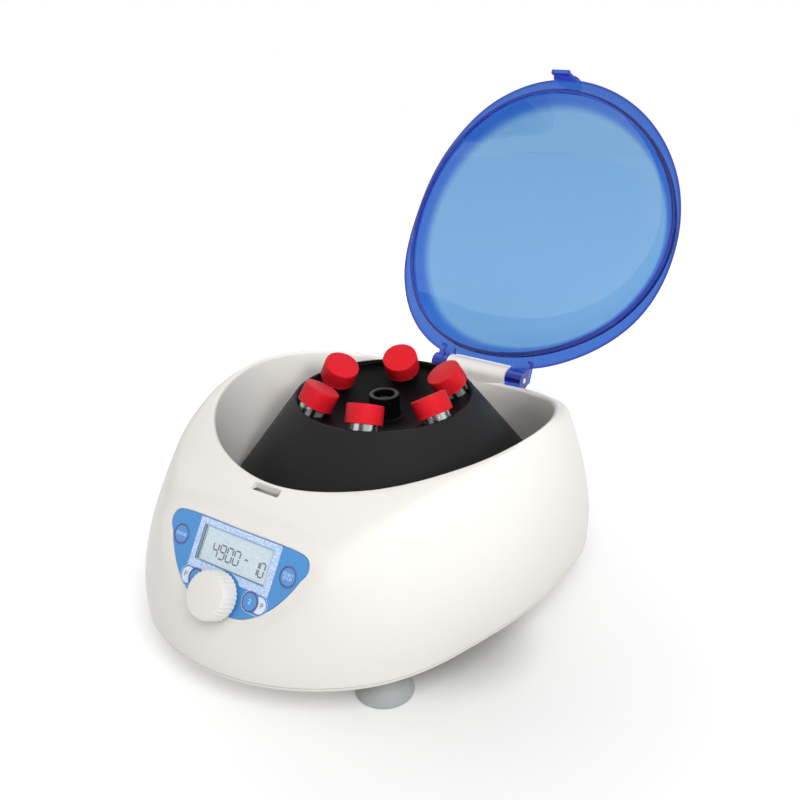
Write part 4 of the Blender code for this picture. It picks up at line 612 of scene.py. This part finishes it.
FEET = ((-0.075, -0.108), (0.075, -0.108), (-0.072, 0.070), (0.072, 0.070))
BOSSES = [(angle, OPENING - BOWL_TAPER + WALL + share * (NOSE * around(BASE_REACH, angle) - WALL + BOWL_TAPER - WALL))
          for angle, share in ((math.radians(15), 0.80), (math.radians(150), 0.50))]
SCREWS = [upright(turn * angle, (radius, 0)) for angle, radius in BOSSES for turn in (1, -1)]


def tray():
    rows = []
    for i in range(240):
        angle = 2 * math.pi * i / 240
        edge = OPENING + NOSE * around(BASE_REACH, angle)
        lip = edge - 0.0035
        rows.append([upright(angle, point) for point in (
            (0.0001, FOOT_TOP), (edge - 0.001, FOOT_TOP), (edge - 0.0003, FOOT_TOP + 0.0003), (edge, FOOT_TOP + 0.001),
            (edge, TRAY_TOP), (lip, TRAY_TOP), (0.0001, TRAY_TOP))])
    form = laid_grid(rows, round_columns=True)
    holes = [bar(0.0018, 0.010, 0.022, place, steps=24) for place in SCREWS]
    holes += [bar(0.0023, 0.010, 0.022, (x, y, 0), steps=24) for x, y in FEET]
    holes += [block((0.003, 0.024, 0.008), ((i - 3) * 0.0075, 0.078, TRAY_TOP), 0.0014, upright_only=True)
              for i in range(7)]
    form = kept_in(carved(form, ("DIFFERENCE", joined(*holes))), "base_tray")
    piece("tray", moved(form, TO_ROW), tray_finish, "base", ["base_tray"])


def feet():
    top = FOOT_TOP - 0.0003
    cup = [(0, top), (0.0058, top), (0.0062, top - 0.0004), (0.0062, 0.74 * top), (0.0070, 0.66 * top),
           (0.0106, 0.50 * top), (0.0130, 0.34 * top), (0.0141, 0.20 * top), (0.0148, 0.10 * top),
           (0.0152, 0.05 * top), (0.0150, 0.0), (0.0140, 0.0), (0.0094, 0.20 * top), (0.0040, 0.29 * top),
           (0, 0.30 * top)]
    for index, (x, y) in enumerate(FEET, 1):
        form = moved(turned(cup), TO_ROW @ Matrix.Translation((x, y, 0)))
        piece(f"suction_foot_{index}", form, rubber_finish, "base", [f"foot_{index}"], 50)
    for index, place in enumerate(SCREWS, 1):
        low = FOOT_TOP - 0.0015
        head = turned([(0, low), (0.0024, low), (0.0029, low + 0.0005), (0.0030, low + 0.0012), (0.0015, low + 0.0012),
                       (0.0015, low + 0.0150), (0, low + 0.0150)], 32)
        cross = [block((0.0005, 0.0030, 0.0016), (0, 0, low)), block((0.0030, 0.0005, 0.0016), (0, 0, low))]
        form = carved(head, ("DIFFERENCE", joined(*cross)))
        piece(f"case_screw_{index}", moved(form, TO_ROW @ Matrix.Translation(place)), steel_finish, "base",
              [f"housing_screw_{index}"])
        dress(f"foot_stud_{index}", steel_finish)


# Bowl, rotor and tubes

def bowl_floor():
    under, tower, edge = 0.0206, RIM - 0.030, bowl(BOWL_BOTTOM) + WALL
    form = turned([(edge, under), (edge, BOWL_BOTTOM), (0.0370, BOWL_BOTTOM), (0.0355, 0.0241), (0.0355, tower - 0.003),
                   (0.0346, tower - 0.0009), (0.0325, tower), (0.008, tower), (0.008, tower - 0.002),
                   (0.0335, tower - 0.002), (0.0335, under), (edge, under)], 160)
    piece("bowl_floor", moved(form, TO_ROW), housing_finish, "base", ["chamber_floor"])
    dress("shaft_seal", soft_finish)


def tube_place(index):
    """From a tube's own frame, with its cap's top at zero, to its station in the rotor."""
    station = Matrix.Rotation(TUBE_START + 2 * math.pi * index / 6, 4, "Z")
    face = Matrix.Translation((0, -TUBE_REACH, RIM + TUBE_RISE))
    return TO_ROW @ station @ face @ Matrix.Rotation(-TUBE_TILT, 4, "X")


def tip(radius, mouth, end, steps=14):
    """Half the outline of a round-bottomed tube, from its mouth to its end."""
    points = [(radius, mouth)]
    for t in np.linspace(0, math.pi / 2, steps, endpoint=False):
        points.append((radius * math.cos(t), end + radius - radius * math.sin(t)))
    return points + [(0, end)]


def rotor():
    cone = (ROTOR_FOOT - ROTOR_TOP) / math.tan(ROTOR_SLOPE)
    profile = [(0.0062, RIM - 0.010), (0.0062, RIM - 0.0007), (0.0065, RIM - 0.0005), (0.0086, RIM - 0.0005),
               (0.0090, RIM - 0.0009), (0.0090, RIM - 0.0120), (0.0094, RIM - 0.0134), (0.0110, RIM - 0.0140),
               (0.0496, RIM - 0.0039), (0.0499, RIM - 0.0036), (0.0500, RIM - 0.0033), (0.0500, RIM - 0.0016),
               (0.0503, RIM - 0.0012), (0.0509, RIM - 0.0002), (0.0513, RIM), (0.0526, RIM), (ROTOR_TOP, RIM - 0.0003),
               (0.0535, RIM - 0.0009), (0.0914, RIM - cone + 0.0004), (ROTOR_FOOT, RIM - cone),
               (ROTOR_FOOT, RIM - 0.079), (0.0914, RIM - 0.0801), (0.0903, RIM - 0.0805), (0.0710, RIM - 0.0805),
               (0.0370, RIM - 0.024), (0.0043, RIM - 0.024), (0.0043, RIM - 0.010), (0.0062, RIM - 0.010)]
    form = turned(profile, 256)
    mouth = 0.0125
    sockets = [moved(turned([(0, mouth)] + tip(0.0085, mouth, -0.0953, 8), 48), TO_ROW.inverted() @ tube_place(index))
               for index in range(6)]
    form = carved(form, ("DIFFERENCE", joined(*sockets)))
    piece("fixed_angle_rotor", moved(form, TO_ROW), black_finish, "rotor_unit", ["rotor"], 28)
    ring = turned([(0.0064, RIM - 0.0009), (0.0064, RIM - 0.0005), (0.0067, RIM - 0.0003), (0.0084, RIM - 0.0003),
                   (0.0087, RIM - 0.0005), (0.0087, RIM - 0.0009), (0.0064, RIM - 0.0009)], 96)
    piece("hub_ring", moved(ring, TO_ROW), hub_finish, "rotor_unit")
    seat = RIM - 0.0097
    nut = [(0.01 / math.sqrt(3) * math.cos(k * math.pi / 3), 0.01 / math.sqrt(3) * math.sin(k * math.pi / 3))
           for k in range(6)]
    cap = turned([(0, seat), (0.0058, seat), (0.0058, seat + 0.0039), (0.0050, seat + 0.0045), (0, seat + 0.0045)], 48)
    form = carved(plate(nut, seat, seat + 0.0045), ("INTERSECT", cap),
                  ("DIFFERENCE", bar(0.0043, seat - 0.002, seat + 0.008)))
    piece("hexagon_nut", moved(form, TO_ROW), dark_steel_finish, "rotor_unit", ["rotor_nut"])
    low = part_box("motor_shaft")[0].z
    shaft = turned([(0, low), (0.004, low), (0.004, RIM - 0.0041), (0.0034, RIM - 0.0035), (0, RIM - 0.0035)], 48)
    piece("rotor_shaft", moved(shaft, TO_ROW), dark_steel_finish, "rotor_unit", ["motor_shaft"])


def tubes():
    wall = tip(0.0080, -0.0021, -0.0948)[::-1] + [(0.0070, -0.0021)] + tip(0.0068, -0.0024, -0.0936)
    low = -0.0110
    cap = [(0, 0), (0.0098, 0), (0.0102, -0.0001), (0.0105, -0.0004), (0.0106, -0.0008), (0.0106, low + 0.0013),
           (0.01045, low + 0.0011), (0.0106, low + 0.0009), (0.0106, low + 0.0003), (0.0104, low), (0.0086, low),
           (0.0084, low + 0.0002), (0.0084, -0.0018), (0, -0.0018)]
    for index in range(6):
        place = tube_place(index)
        number = index + 1
        body = f"tube_unit_{number}"
        glass = turned(wall, 96)
        turns = [math.atan2(vert.co.y, vert.co.x) + index for vert in glass.verts]
        made = piece(f"glass_tube_{number}", moved(glass, place), glass_finish, body, [f"tube_{number}"],
                     50)
        # Painted reflection: bright and dark upright bands round the glass, set by cosines of each corner's turn
        marked(made, "painted_reflection", [clamp(0.5 + 0.7 * math.cos(7 * turn) + 0.5 * math.cos(11 * turn + 1))
                                for turn in turns])
        top = turned(cap, CAP_STEPS)
        for vert in top.verts:
            rib = round(math.atan2(vert.co.y, vert.co.x) * (CAP_STEPS / 2) / math.pi)
            if rib % 2 and vert.co.xy.length > 0.01055 and vert.co.z > low + 0.0012:
                vert.co.xy *= 0.985
        piece(f"screw_cap_{number}", moved(top, place), red_finish, body, [f"cap_{number}"], 50)


# Lid

def lid_radii(angle):
    """Radii of the lip's inside and of the flange's edge, and the lip's lowest height."""
    return (OPENING - LIP_SETBACK * around(LID_LIP, angle), OPENING + FLANGE_REACH * around(LID_FLANGE, angle),
            edge_height(angle) - LIP_DEPTH)


def flange_heights(angle):
    """Under and upper side of the flange."""
    under = edge_height(angle) + LID_GAP
    return under, under + LID_WALL


def lid_row(angle):
    """Half a section of the shut lid: dome, flange, lip and the dome's inside."""
    inner, flange, low = lid_radii(angle)
    outer = inner + LID_WALL
    edge, top = flange_heights(angle)

    def dome(radius, foot, height):
        share = np.sin(np.linspace(0, math.pi / 2, 26))
        share[0] = 0.0005
        return [(radius * s, height - (height - foot) * s ** 3.2) for s in share]

    rim = [(outer + 0.0004, top + 0.0003), (outer + 0.0011, top), (flange - FLANGE_EDGE, top),
           (flange - 0.0004, top - 0.0004), (flange, top - 0.0011), (flange, edge + 0.0003), (flange - 0.0003, edge),
           (flange - FLANGE_EDGE, edge), (outer + 0.0003, edge), (outer, edge - 0.0003), (outer, low + 0.0004),
           (outer - 0.0004, low), (inner + 0.0004, low), (inner, low + 0.0004)]
    points = dome(outer, top + 0.0011, RIM + 0.03) + rim + dome(inner, edge + 0.0011, RIM + 0.0278)[::-1]
    return [upright(angle, point) for point in points]


def lid_tint(place):
    """0 on the clear dome, a half on the band by the lip, 1 on the free edges; hook and arms have their own."""
    inner, flange, low = lid_radii(math.atan2(place.x, -place.y))
    radius = math.hypot(place.x, place.y)
    if radius > flange + 0.0002:
        return HOOK_TINT if place.y < 0 else ARM_TINT
    if place.z < low + 0.0005 or radius > flange - 0.0010:
        return 1.0
    return 0.5 * clamp((radius - inner + BAND_REACH) / BAND_FADE)


def lid():
    steps = 240
    form = laid_grid([lid_row(2 * math.pi * i / steps) for i in range(steps)])
    bmesh.ops.holes_fill(form, edges=[edge for edge in form.edges if edge.is_boundary])
    closed(form)
    edge, top = flange_heights(math.pi)
    under, rise = flange_heights(math.pi - math.asin(KNUCKLE_FAR / OPENING))
    front = OPENING - LIP_SETBACK
    additions = []
    for side in (-1, 1):
        ends = sorted((side * KNUCKLE_NEAR, side * KNUCKLE_FAR))
        arm = [(HINGE.y - 0.003, edge), (HINGE.y, HINGE.z + 0.0057), (front + LID_WALL, rise + 0.0011),
               (front + LID_WALL, under), (HINGE.y - 0.006, under)]
        gusset = [(HINGE.y + 0.0057, HINGE.z), (HINGE.y, HINGE.z + 0.003), (front, rise), (front, top + 0.0075),
                  (HINGE.y, HINGE.z + 0.0082)]
        additions += [("UNION", hinge_rod(KNUCKLE, side, KNUCKLE_NEAR, KNUCKLE_FAR)), ("UNION", sideways(arm, *ends)),
                      ("UNION", sideways(gusset, *sorted((side * KNUCKLE_FAR, side * GUSSET_NEAR))))]
    brow, brow_top = flange_heights(0)
    middle = -OPENING - HOOK_SETBACK
    back = middle + 0.0016
    face = back - 0.002
    hook_low = brow - HOOK_LENGTH
    barb = hook_low + 0.0025
    hook = [(face, brow_top), (face, barb), (face - 0.001, barb), (face - 0.0005, hook_low), (back, hook_low),
            (back, brow), (middle + 0.008, brow), (middle + 0.008, brow_top)]
    outline = [(0.0090, brow + 0.0030), (0.0090, brow - 0.0030), (0.0080, brow - 0.0065), (0.0070, brow - 0.0070),
               (0.0061, hook_low - 0.0010)]
    outline += [(-x, z) for x, z in outline[::-1]]
    across = Matrix.Rotation(math.pi / 2, 4, "X")
    leg = carved(sideways(hook, -0.0095, 0.0095), ("INTERSECT", moved(plate(outline, 0.080, 0.120), across)),
                 ("DIFFERENCE", moved(bar(0.0014, 0.080, 0.120, (-0.0074, brow - 0.0100, 0), steps=24), across)))
    additions.append(("UNION", leg))
    clear = HINGE.y - 0.0075
    cuts = [block((0.046, NOSE, SHELL), (0, clear + NOSE / 2, (RIM + FOOT_TOP) / 2))]
    cuts += [hinge_rod(PIN_BORE, side, 0.019, 0.0385, 24) for side in (-1, 1)]
    form = carved(form, *additions, ("DIFFERENCE", joined(*cuts)))
    tint_and_painted_glow = [lid_tint(vert.co) for vert in form.verts]
    swing = (TO_ROW @ Matrix.Translation(HINGE) @ Matrix.Rotation(-LID_OPEN, 4, "X")
             @ Matrix.Translation(-HINGE))
    marked(piece("domed_lid", moved(form, swing), lid_finish, "lid_body", ["lid"], 30), "tint_and_painted_glow", tint_and_painted_glow)
    for name in ("hinge_pin_left", "hinge_pin_right"):
        dress(name, steel_finish)


# Panel

def on_panel(form, place=(0, 0)):
    return moved(form, TO_ROW @ PANEL @ Matrix.Translation((*place, 0)))


def printed(name, form, finish, body="base"):
    return piece(name, form, finish, body, sharp=30)


def ring(outer, inner, low, high, steps=64):
    return turned([(outer, low), (outer, high), (inner, high), (inner, low), (outer, low)], steps)


def lettering(name, text, size, place, level, finish, body):
    """Raised words that stand on a level of the panel."""
    thin = 0.00002
    curve = bpy.data.curves.new(name, "FONT")
    curve.body = text
    curve.size = size
    curve.align_x, curve.align_y = "CENTER", "CENTER"
    curve.extrude = thin
    curve.space_line = 0.85
    curve.resolution_u = 3
    holder = placed(name, curve)
    bpy.context.view_layer.update()
    mesh = bpy.data.meshes.new_from_object(holder.evaluated_get(bpy.context.evaluated_depsgraph_get()))
    form = bmesh.new()
    form.from_mesh(mesh)
    bpy.data.objects.remove(holder)
    moved(form, Matrix.Translation((0, 0, level + thin)))
    return printed(name, closed(on_panel(form, place)), finish, body)


def stadium(reach, length):
    """Outline of a pill that lies along X."""
    right, left = (np.linspace(start, start + math.pi, 20) for start in (-math.pi / 2, math.pi / 2))
    return ([(length + reach * math.cos(t), reach * math.sin(t)) for t in right]
            + [(reach * math.cos(t), reach * math.sin(t)) for t in left])


SEGMENTS = {"0": "abcdef", "1": "bc", "4": "bcfg", "9": "abcdfg", "-": "g"}


def digit(symbol, x, y, width=0.0036):
    """Seven-segment sign with its lower left corner at a place on the screen."""
    height, thick = 0.0072, 0.00085
    half = height / 2
    bars = {"a": (width / 2, height, 1), "g": (width / 2, half, 1), "d": (width / 2, 0, 1),
            "f": (0, half * 1.5, 0), "b": (width, half * 1.5, 0), "e": (0, half / 2, 0), "c": (width, half / 2, 0)}
    forms = []
    for key in SEGMENTS[symbol]:
        cx, cy, flat = bars[key]
        long = (width if flat else half) - 0.0007
        size = (long, thick, MARK_DEPTH) if flat else (thick, long, MARK_DEPTH)
        slant = (cy - half) * 0.06
        forms.append(block(size, (x + cx + slant, y + cy, SCREEN_LEVEL)))
    return forms


def panel():
    low = -0.0006
    film = plate(shield(0.0003), low, 0.0002)
    holes = [block((0.0479, 0.0184, 0.008), radius=0.0005, upright_only=True), borer(KNOB_BORE, KNOB_PLACE)]
    holes += [borer(0.0055, place) for place in KEYS.values()]
    film = carved(film, ("DIFFERENCE", joined(*holes)))
    piece("panel_film", on_panel(film), film_finish, "base", ["key_film"], 30)
    surround = carved(block((0.0560, 0.0262, 0.00006), (0.0005, -0.0006, 0.00022), 0.0006, upright_only=True),
                      ("DIFFERENCE", block((0.0483, 0.0188, 0.002))),
                      ("DIFFERENCE", joined(*[borer(0.0057, place) for place in KEYS.values()],
                                            borer(KNOB_RADIUS, KNOB_PLACE))))
    printed("screen_surround", on_panel(surround), frame_finish)
    module = carved(block((0.0554, 0.0250, 0.0098), (0, 0, -0.0058)),
                    ("UNION", block((0.0554, 0.0290, 0.0043), (0, 0, -0.00855))))
    piece("screen_module", on_panel(module), screen_finish, "base", ["display_module"])
    marks = []
    for index, symbol in enumerate("4900"):
        marks += digit(symbol, -0.0150 + 0.0050 * index, -0.0052)
    marks += digit("-", 0.0066, -0.0042, 0.0030)
    for index, symbol in enumerate("10"):
        marks += digit(symbol, 0.0135 + 0.0042 * index, -0.0060, 0.0032)
    marks += [block((0.0012, 0.0176, MARK_DEPTH), (-0.0232, 0, SCREEN_LEVEL))]
    marks += [block((0.0006, 0.0005, MARK_DEPTH), (-0.0220, -0.0084 + 0.0009 * i, SCREEN_LEVEL)) for i in range(19)]
    marks += [block((0.0450, 0.0003, MARK_DEPTH), (0.0010, -0.0090, SCREEN_LEVEL))]
    printed("screen_digits", on_panel(joined(*marks)), digit_finish)
    faint = [block((length, 0.0003, 0.00006), (x, y, -0.00086)) for x, y, length in (
        (-0.014, 0.0062, 0.003), (-0.0065, 0.0060, 0.002), (-0.0065, 0.0040, 0.003), (0.010, 0.0058, 0.002),
        (0.0165, 0.0050, 0.002), (0.0185, 0.0036, 0.0016), (0.006, -0.0070, 0.002), (-0.016, -0.0068, 0.003))]
    printed("screen_marks", on_panel(joined(*faint)), faint_finish)
    pane = block((0.0476, 0.0181, 0.0006), (0, 0, -0.0003), 0.0004, upright_only=True)
    piece("screen_pane", on_panel(pane), pane_finish, "base", ["display_window"])
    words = {"door": ("DOOR", 0.0024), "start_stop": ("START\nSTOP", 0.0023), "one": ("1", 0.0036),
             "two": ("2", 0.0036)}
    bodies = {"door": "door_key", "start_stop": "start_stop_key", "one": "program_one_key", "two": "program_two_key"}
    stem = -BOARD_DEPTH + CONTACT_HEIGHT + KEY_TRAVEL + CLEARANCE
    for key, place in KEYS.items():
        body = bodies[key]
        cap = turned([(0, stem), (0.0018, stem), (0.0018, -0.0001), (0.0050, -0.0001), (0.0052, 0.0),
                      (0.0052, 0.0003), (0.0051, 0.0004), (0, 0.00038)], 64)
        piece(f"button_{key}", on_panel(cap, place), key_finish, body, [f"key_{key}"])
        printed(f"button_ring_{key}", on_panel(ring(0.0050, 0.0044, 0.0003, 0.00043), place), ring_finish, body)
        lettering(f"button_text_{key}", *words[key], place, 0.00039, print_finish, body)
    for key, side in (("one", -1), ("two", 1)):
        x, y = KEYS[key]
        outline = carved(plate(stadium(0.0056, 0.0058), 0.00018, 0.00026),
                         ("DIFFERENCE", plate(stadium(0.0053, 0.0058), 0, 0.001)))
        if side < 0:
            moved(outline, Matrix.Scale(-1, 4, (1, 0, 0)))
        printed(f"pill_line_{key}", closed(on_panel(outline, (x, y))), frame_finish)
        patch = carved(bar(0.0042, 0.00018, 0.00026, (side * 0.0062, 0, 0)),
                       ("DIFFERENCE", bar(0.0056, 0, 0.001)))
        printed(f"pill_patch_{key}", on_panel(patch, (x, y)), print_finish)
        lettering(f"pill_text_{key}", "P", 0.0040, (x + side * 0.0078, y), 0.00026, ring_finish, "base")


def knob():
    steps = 256
    rows = []
    for i in range(steps):
        angle = 2 * math.pi * i / steps
        wave = 0.5 - 0.5 * math.cos(KNOB_RIBS * angle)
        radius = KNOB_RADIUS - 0.0005 * wave ** 0.6
        outline = [(0.0001, 0.01262), (0.0112, 0.0126), (0.0116, 0.0125), (radius - 0.0003, 0.0117), (radius, 0.0113),
                   (radius, 0.0026), (radius - 0.0004, 0.0022), (0.0034, 0.0022), (0.0033, 0.0023), (0.0033, 0.0102),
                   (0.0001, 0.0102)]
        rows.append([Vector((r * math.cos(angle), r * math.sin(angle), z)) for r, z in outline])
    form = laid_grid(rows, round_columns=True)
    piece("ribbed_knob", closed(on_panel(form, KNOB_PLACE)), knob_finish, "knob_unit", ["knob"], 40)
    dress("encoder_shaft", steel_finish)
    dress("encoder", motor_finish)


# Rear and hidden pieces

def on_rear(form, x):
    """Stand a form, whose Z points away from the machine, on the flat rear face."""
    return moved(form, TO_ROW @ Matrix.Translation((x, REAR_FACE, REAR_MIDDLE)) @ Matrix.Rotation(-math.pi / 2, 4, "X"))


def rear():
    inlet = carved(block((0.030, 0.024, 0.0016), (0, 0, 0.0011), 0.0005),
                   ("UNION", block((0.0262, 0.0192, 0.0146), (0, 0, -0.0067))),
                   ("DIFFERENCE", block((0.023, 0.016, 0.013), (0, 0, -0.0043), 0.003, upright_only=True)),
                   ("UNION", joined(*[block((0.002, 0.0036, 0.0105), (x, y, -0.0058)) for x, y in
                                      ((-0.007, 0), (0.007, 0), (0, -0.0045))])))
    piece("mains_inlet", on_rear(inlet, INLET_X), moulded_finish, "base", ["power_inlet"])
    surround = carved(block((0.016, 0.024, 0.0016), (0, 0, 0.0011), 0.0005),
                      ("UNION", block((0.0127, 0.0197, 0.0126), (0, 0, -0.0057))),
                      ("DIFFERENCE", block((0.0106, 0.0176, 0.008), (0, 0, -0.0018))),
                      ("UNION", bar(0.001, -0.0059, 0.0059, (0, 0, -0.0003), "X", 24)))
    piece("switch_surround", on_rear(surround, SWITCH_X), moulded_finish, "base", ["power_switch"])
    outline = [(-0.008, 0.003), (-0.004, 0.0019), (0, 0.0015), (0.004, 0.0019), (0.008, 0.003), (0.008, 0),
               (0.003, -0.003), (-0.003, -0.003), (-0.008, 0)]
    rocker = carved(sideways(outline, -0.005, 0.005), ("DIFFERENCE", bar(0.0013, -0.009, 0.009, axis="X", steps=24)))
    turn = Matrix.Translation((0, 0, -0.0003)) @ Matrix.Rotation(math.radians(9), 4, "X")
    piece("rocker_key", on_rear(moved(rocker, turn), SWITCH_X), moulded_finish, "rocker", ["power_rocker"])
    signs = joined(moved(block((0.0004, 0.0028, 0.00008)), Matrix.Translation((0, 0.0052, 0.00224))
                         @ Matrix.Rotation(math.radians(15), 4, "X")),
                   moved(ring(0.0014, 0.0010, -0.00004, 0.00004, 32), Matrix.Translation((0, -0.0052, 0.00224))
                         @ Matrix.Rotation(math.radians(-15), 4, "X")))
    piece("rocker_signs", on_rear(moved(signs, turn), SWITCH_X), print_finish, "rocker")


def hidden():
    for node, finish in (("motor", motor_finish), ("motor_plate", steel_finish), ("latch_bracket", steel_finish),
                         ("latch_plunger", steel_finish), ("latch_solenoid", coil_finish), ("latch_pawl", nylon_finish),
                         ("lid_switch", moulded_finish), ("control_board", board_finish),
                         ("power_board", board_finish), ("motor_damper_1", soft_finish),
                         ("motor_damper_2", soft_finish), ("motor_damper_3", soft_finish)):
        dress(node, finish)


# Floor, light and camera

# Lamps: name, place, size and power
LIGHTS = (("key_light", (1.95, -1.1, 1.35), 2.0, 22.5), ("side_light", (-1.7, -1.2, 1.2), 3.0, 6.5),
          ("top_light", (0.9, -0.8, 2.0), 1.7, 20.5))
LIGHT_AIM = (0, 0, 0.1)
BOWL_LIGHT, BOWL_SPOT, BOWL_POWER = (0.60, -0.42, 0.50), (-0.085, 0.025, 0.085), 34
AMBIENT = 0.36
# Floor: a glow seen only by the camera and clear pieces, growing outwards from the soft shadow's middle, so the soft
# shadow is partly real and partly painted by where the glow fades; and a painted shadow under the body, a darker floor
# colour
GLOW_MIDDLE, GLOW_NEAR, GLOW_FAR, GLOW = (-0.105, 0.115, 0), 0.025, 0.325, 0.51
PAINTED_SHADOW_MIDDLE, PAINTED_SHADOW_NEAR, PAINTED_SHADOW_FAR = (-0.080, 0.090, 0), 0.018, 0.058
PAINTED_SHADOW_GREY, PALE = 0.58, 0.93
LENS, CAMERA_PLACE = 45.64, (0.33079, -0.42935, 0.23919 + RIM)
CAMERA_RIGHT, CAMERA_UP = (0.8113, 0.5835, -0.0358), (-0.2136, 0.3528, 0.9110)
CAMERA_AHEAD = (-0.5442, 0.7315, -0.4109)


def see_through_level(tree, low, high):
    """One level for the light on the object, another for what the camera and clear pieces see."""
    path = tree.nodes.new("ShaderNodeLightPath")
    seen = path.outputs["Is Camera Ray"]
    for name in ("Is Glossy Ray", "Is Transmission Ray"):
        most = tree.nodes.new("ShaderNodeMath")
        most.operation = "MAXIMUM"
        tree.links.new(seen, most.inputs[0])
        tree.links.new(path.outputs[name], most.inputs[1])
        seen = most.outputs[0]
    level = tree.nodes.new("ShaderNodeMath")
    level.operation = "MULTIPLY_ADD"
    level.inputs[1].default_value = high - low
    level.inputs[2].default_value = low
    tree.links.new(seen, level.inputs[0])
    return level.outputs[0]


def lamp(name, kind, place, aim, **settings):
    """A lamp that lights the object and isn't mirrored in it."""
    data = bpy.data.lights.new(name, kind)
    for key, value in settings.items():
        setattr(data, key, value)
    made = placed(name, data)
    made.visible_glossy = made.visible_transmission = False
    made.location = place
    made.rotation_euler = (Vector(aim) - Vector(place)).to_track_quat("-Z", "Y").to_euler()
    return made


def studio():
    floor = placed("floor", bpy.data.meshes.new("floor"))
    form = bmesh.new()
    bmesh.ops.create_circle(form, cap_ends=True, segments=64, radius=1.3)
    moved(form, Matrix.Translation((0, 0, -0.0002)))
    form.to_mesh(floor.data)
    form.free()
    pale = Finish("floor", (0.93, 0.93, 0.93), 0.9, Specular_IOR_Level=0.0, Emission_Strength=1.0)
    seen = Socket(pale, see_through_level(pale.tree, 0.0, 1.0))

    def fade(middle, near, far, kind):
        return pale.node("ShaderNodeMapRange", {"interpolation_type": kind}, pale.distance(middle), near, far, 0.0, 1.0)

    # Painted light: the floor glows for the camera and clear pieces, least round the body, so where the glow fades
    # shapes part of the soft shadow
    pale.feed("Emission Color", pale.mix(seen * (fade(GLOW_MIDDLE, GLOW_NEAR, GLOW_FAR, "LINEAR") * GLOW),
                                         (0, 0, 0), (1, 1, 1)))
    # Painted shadow: the floor's colour is grey near the body and pale further out
    pale.feed("Base Color", pale.mix(fade(PAINTED_SHADOW_MIDDLE, PAINTED_SHADOW_NEAR, PAINTED_SHADOW_FAR, "SMOOTHSTEP"),
                                     [PAINTED_SHADOW_GREY] * 3, [PALE] * 3))
    floor.data.materials.append(pale.material)
    lights = [lamp(name, "AREA", place, LIGHT_AIM, size=size, energy=power) for name, place, size, power in LIGHTS]
    lights.append(lamp("bowl_light", "SPOT", BOWL_LIGHT, BOWL_SPOT, energy=BOWL_POWER, shadow_soft_size=0.12,
                       spot_size=math.radians(14), spot_blend=1.0))
    world = bpy.data.worlds.new("studio")
    world.use_nodes = True
    bpy.context.scene.world = world
    tree = world.node_tree
    back = tree.nodes["Background"]
    back.inputs["Color"].default_value = (1, 1, 1, 1)
    tree.links.new(see_through_level(tree, AMBIENT, 1.0), back.inputs["Strength"])
    bpy.context.scene.view_settings.view_transform = "Standard"


def camera():
    data = bpy.data.cameras.new("camera")
    data.sensor_width = 36.0
    data.lens = LENS
    data.clip_start, data.clip_end = 0.01, 50
    made = placed("camera", data)
    right, up, ahead = (Vector(v) for v in (CAMERA_RIGHT, CAMERA_UP, CAMERA_AHEAD))
    made.matrix_world = (TO_ROW @ Matrix.Translation(CAMERA_PLACE)
                         @ Matrix((right, up, -ahead)).transposed().to_4x4())
    bpy.context.scene.camera = made


for build in (housing, tray, feet, bowl_floor, rotor, tubes, lid, panel, knob, rear, hidden, studio, camera):
    build()
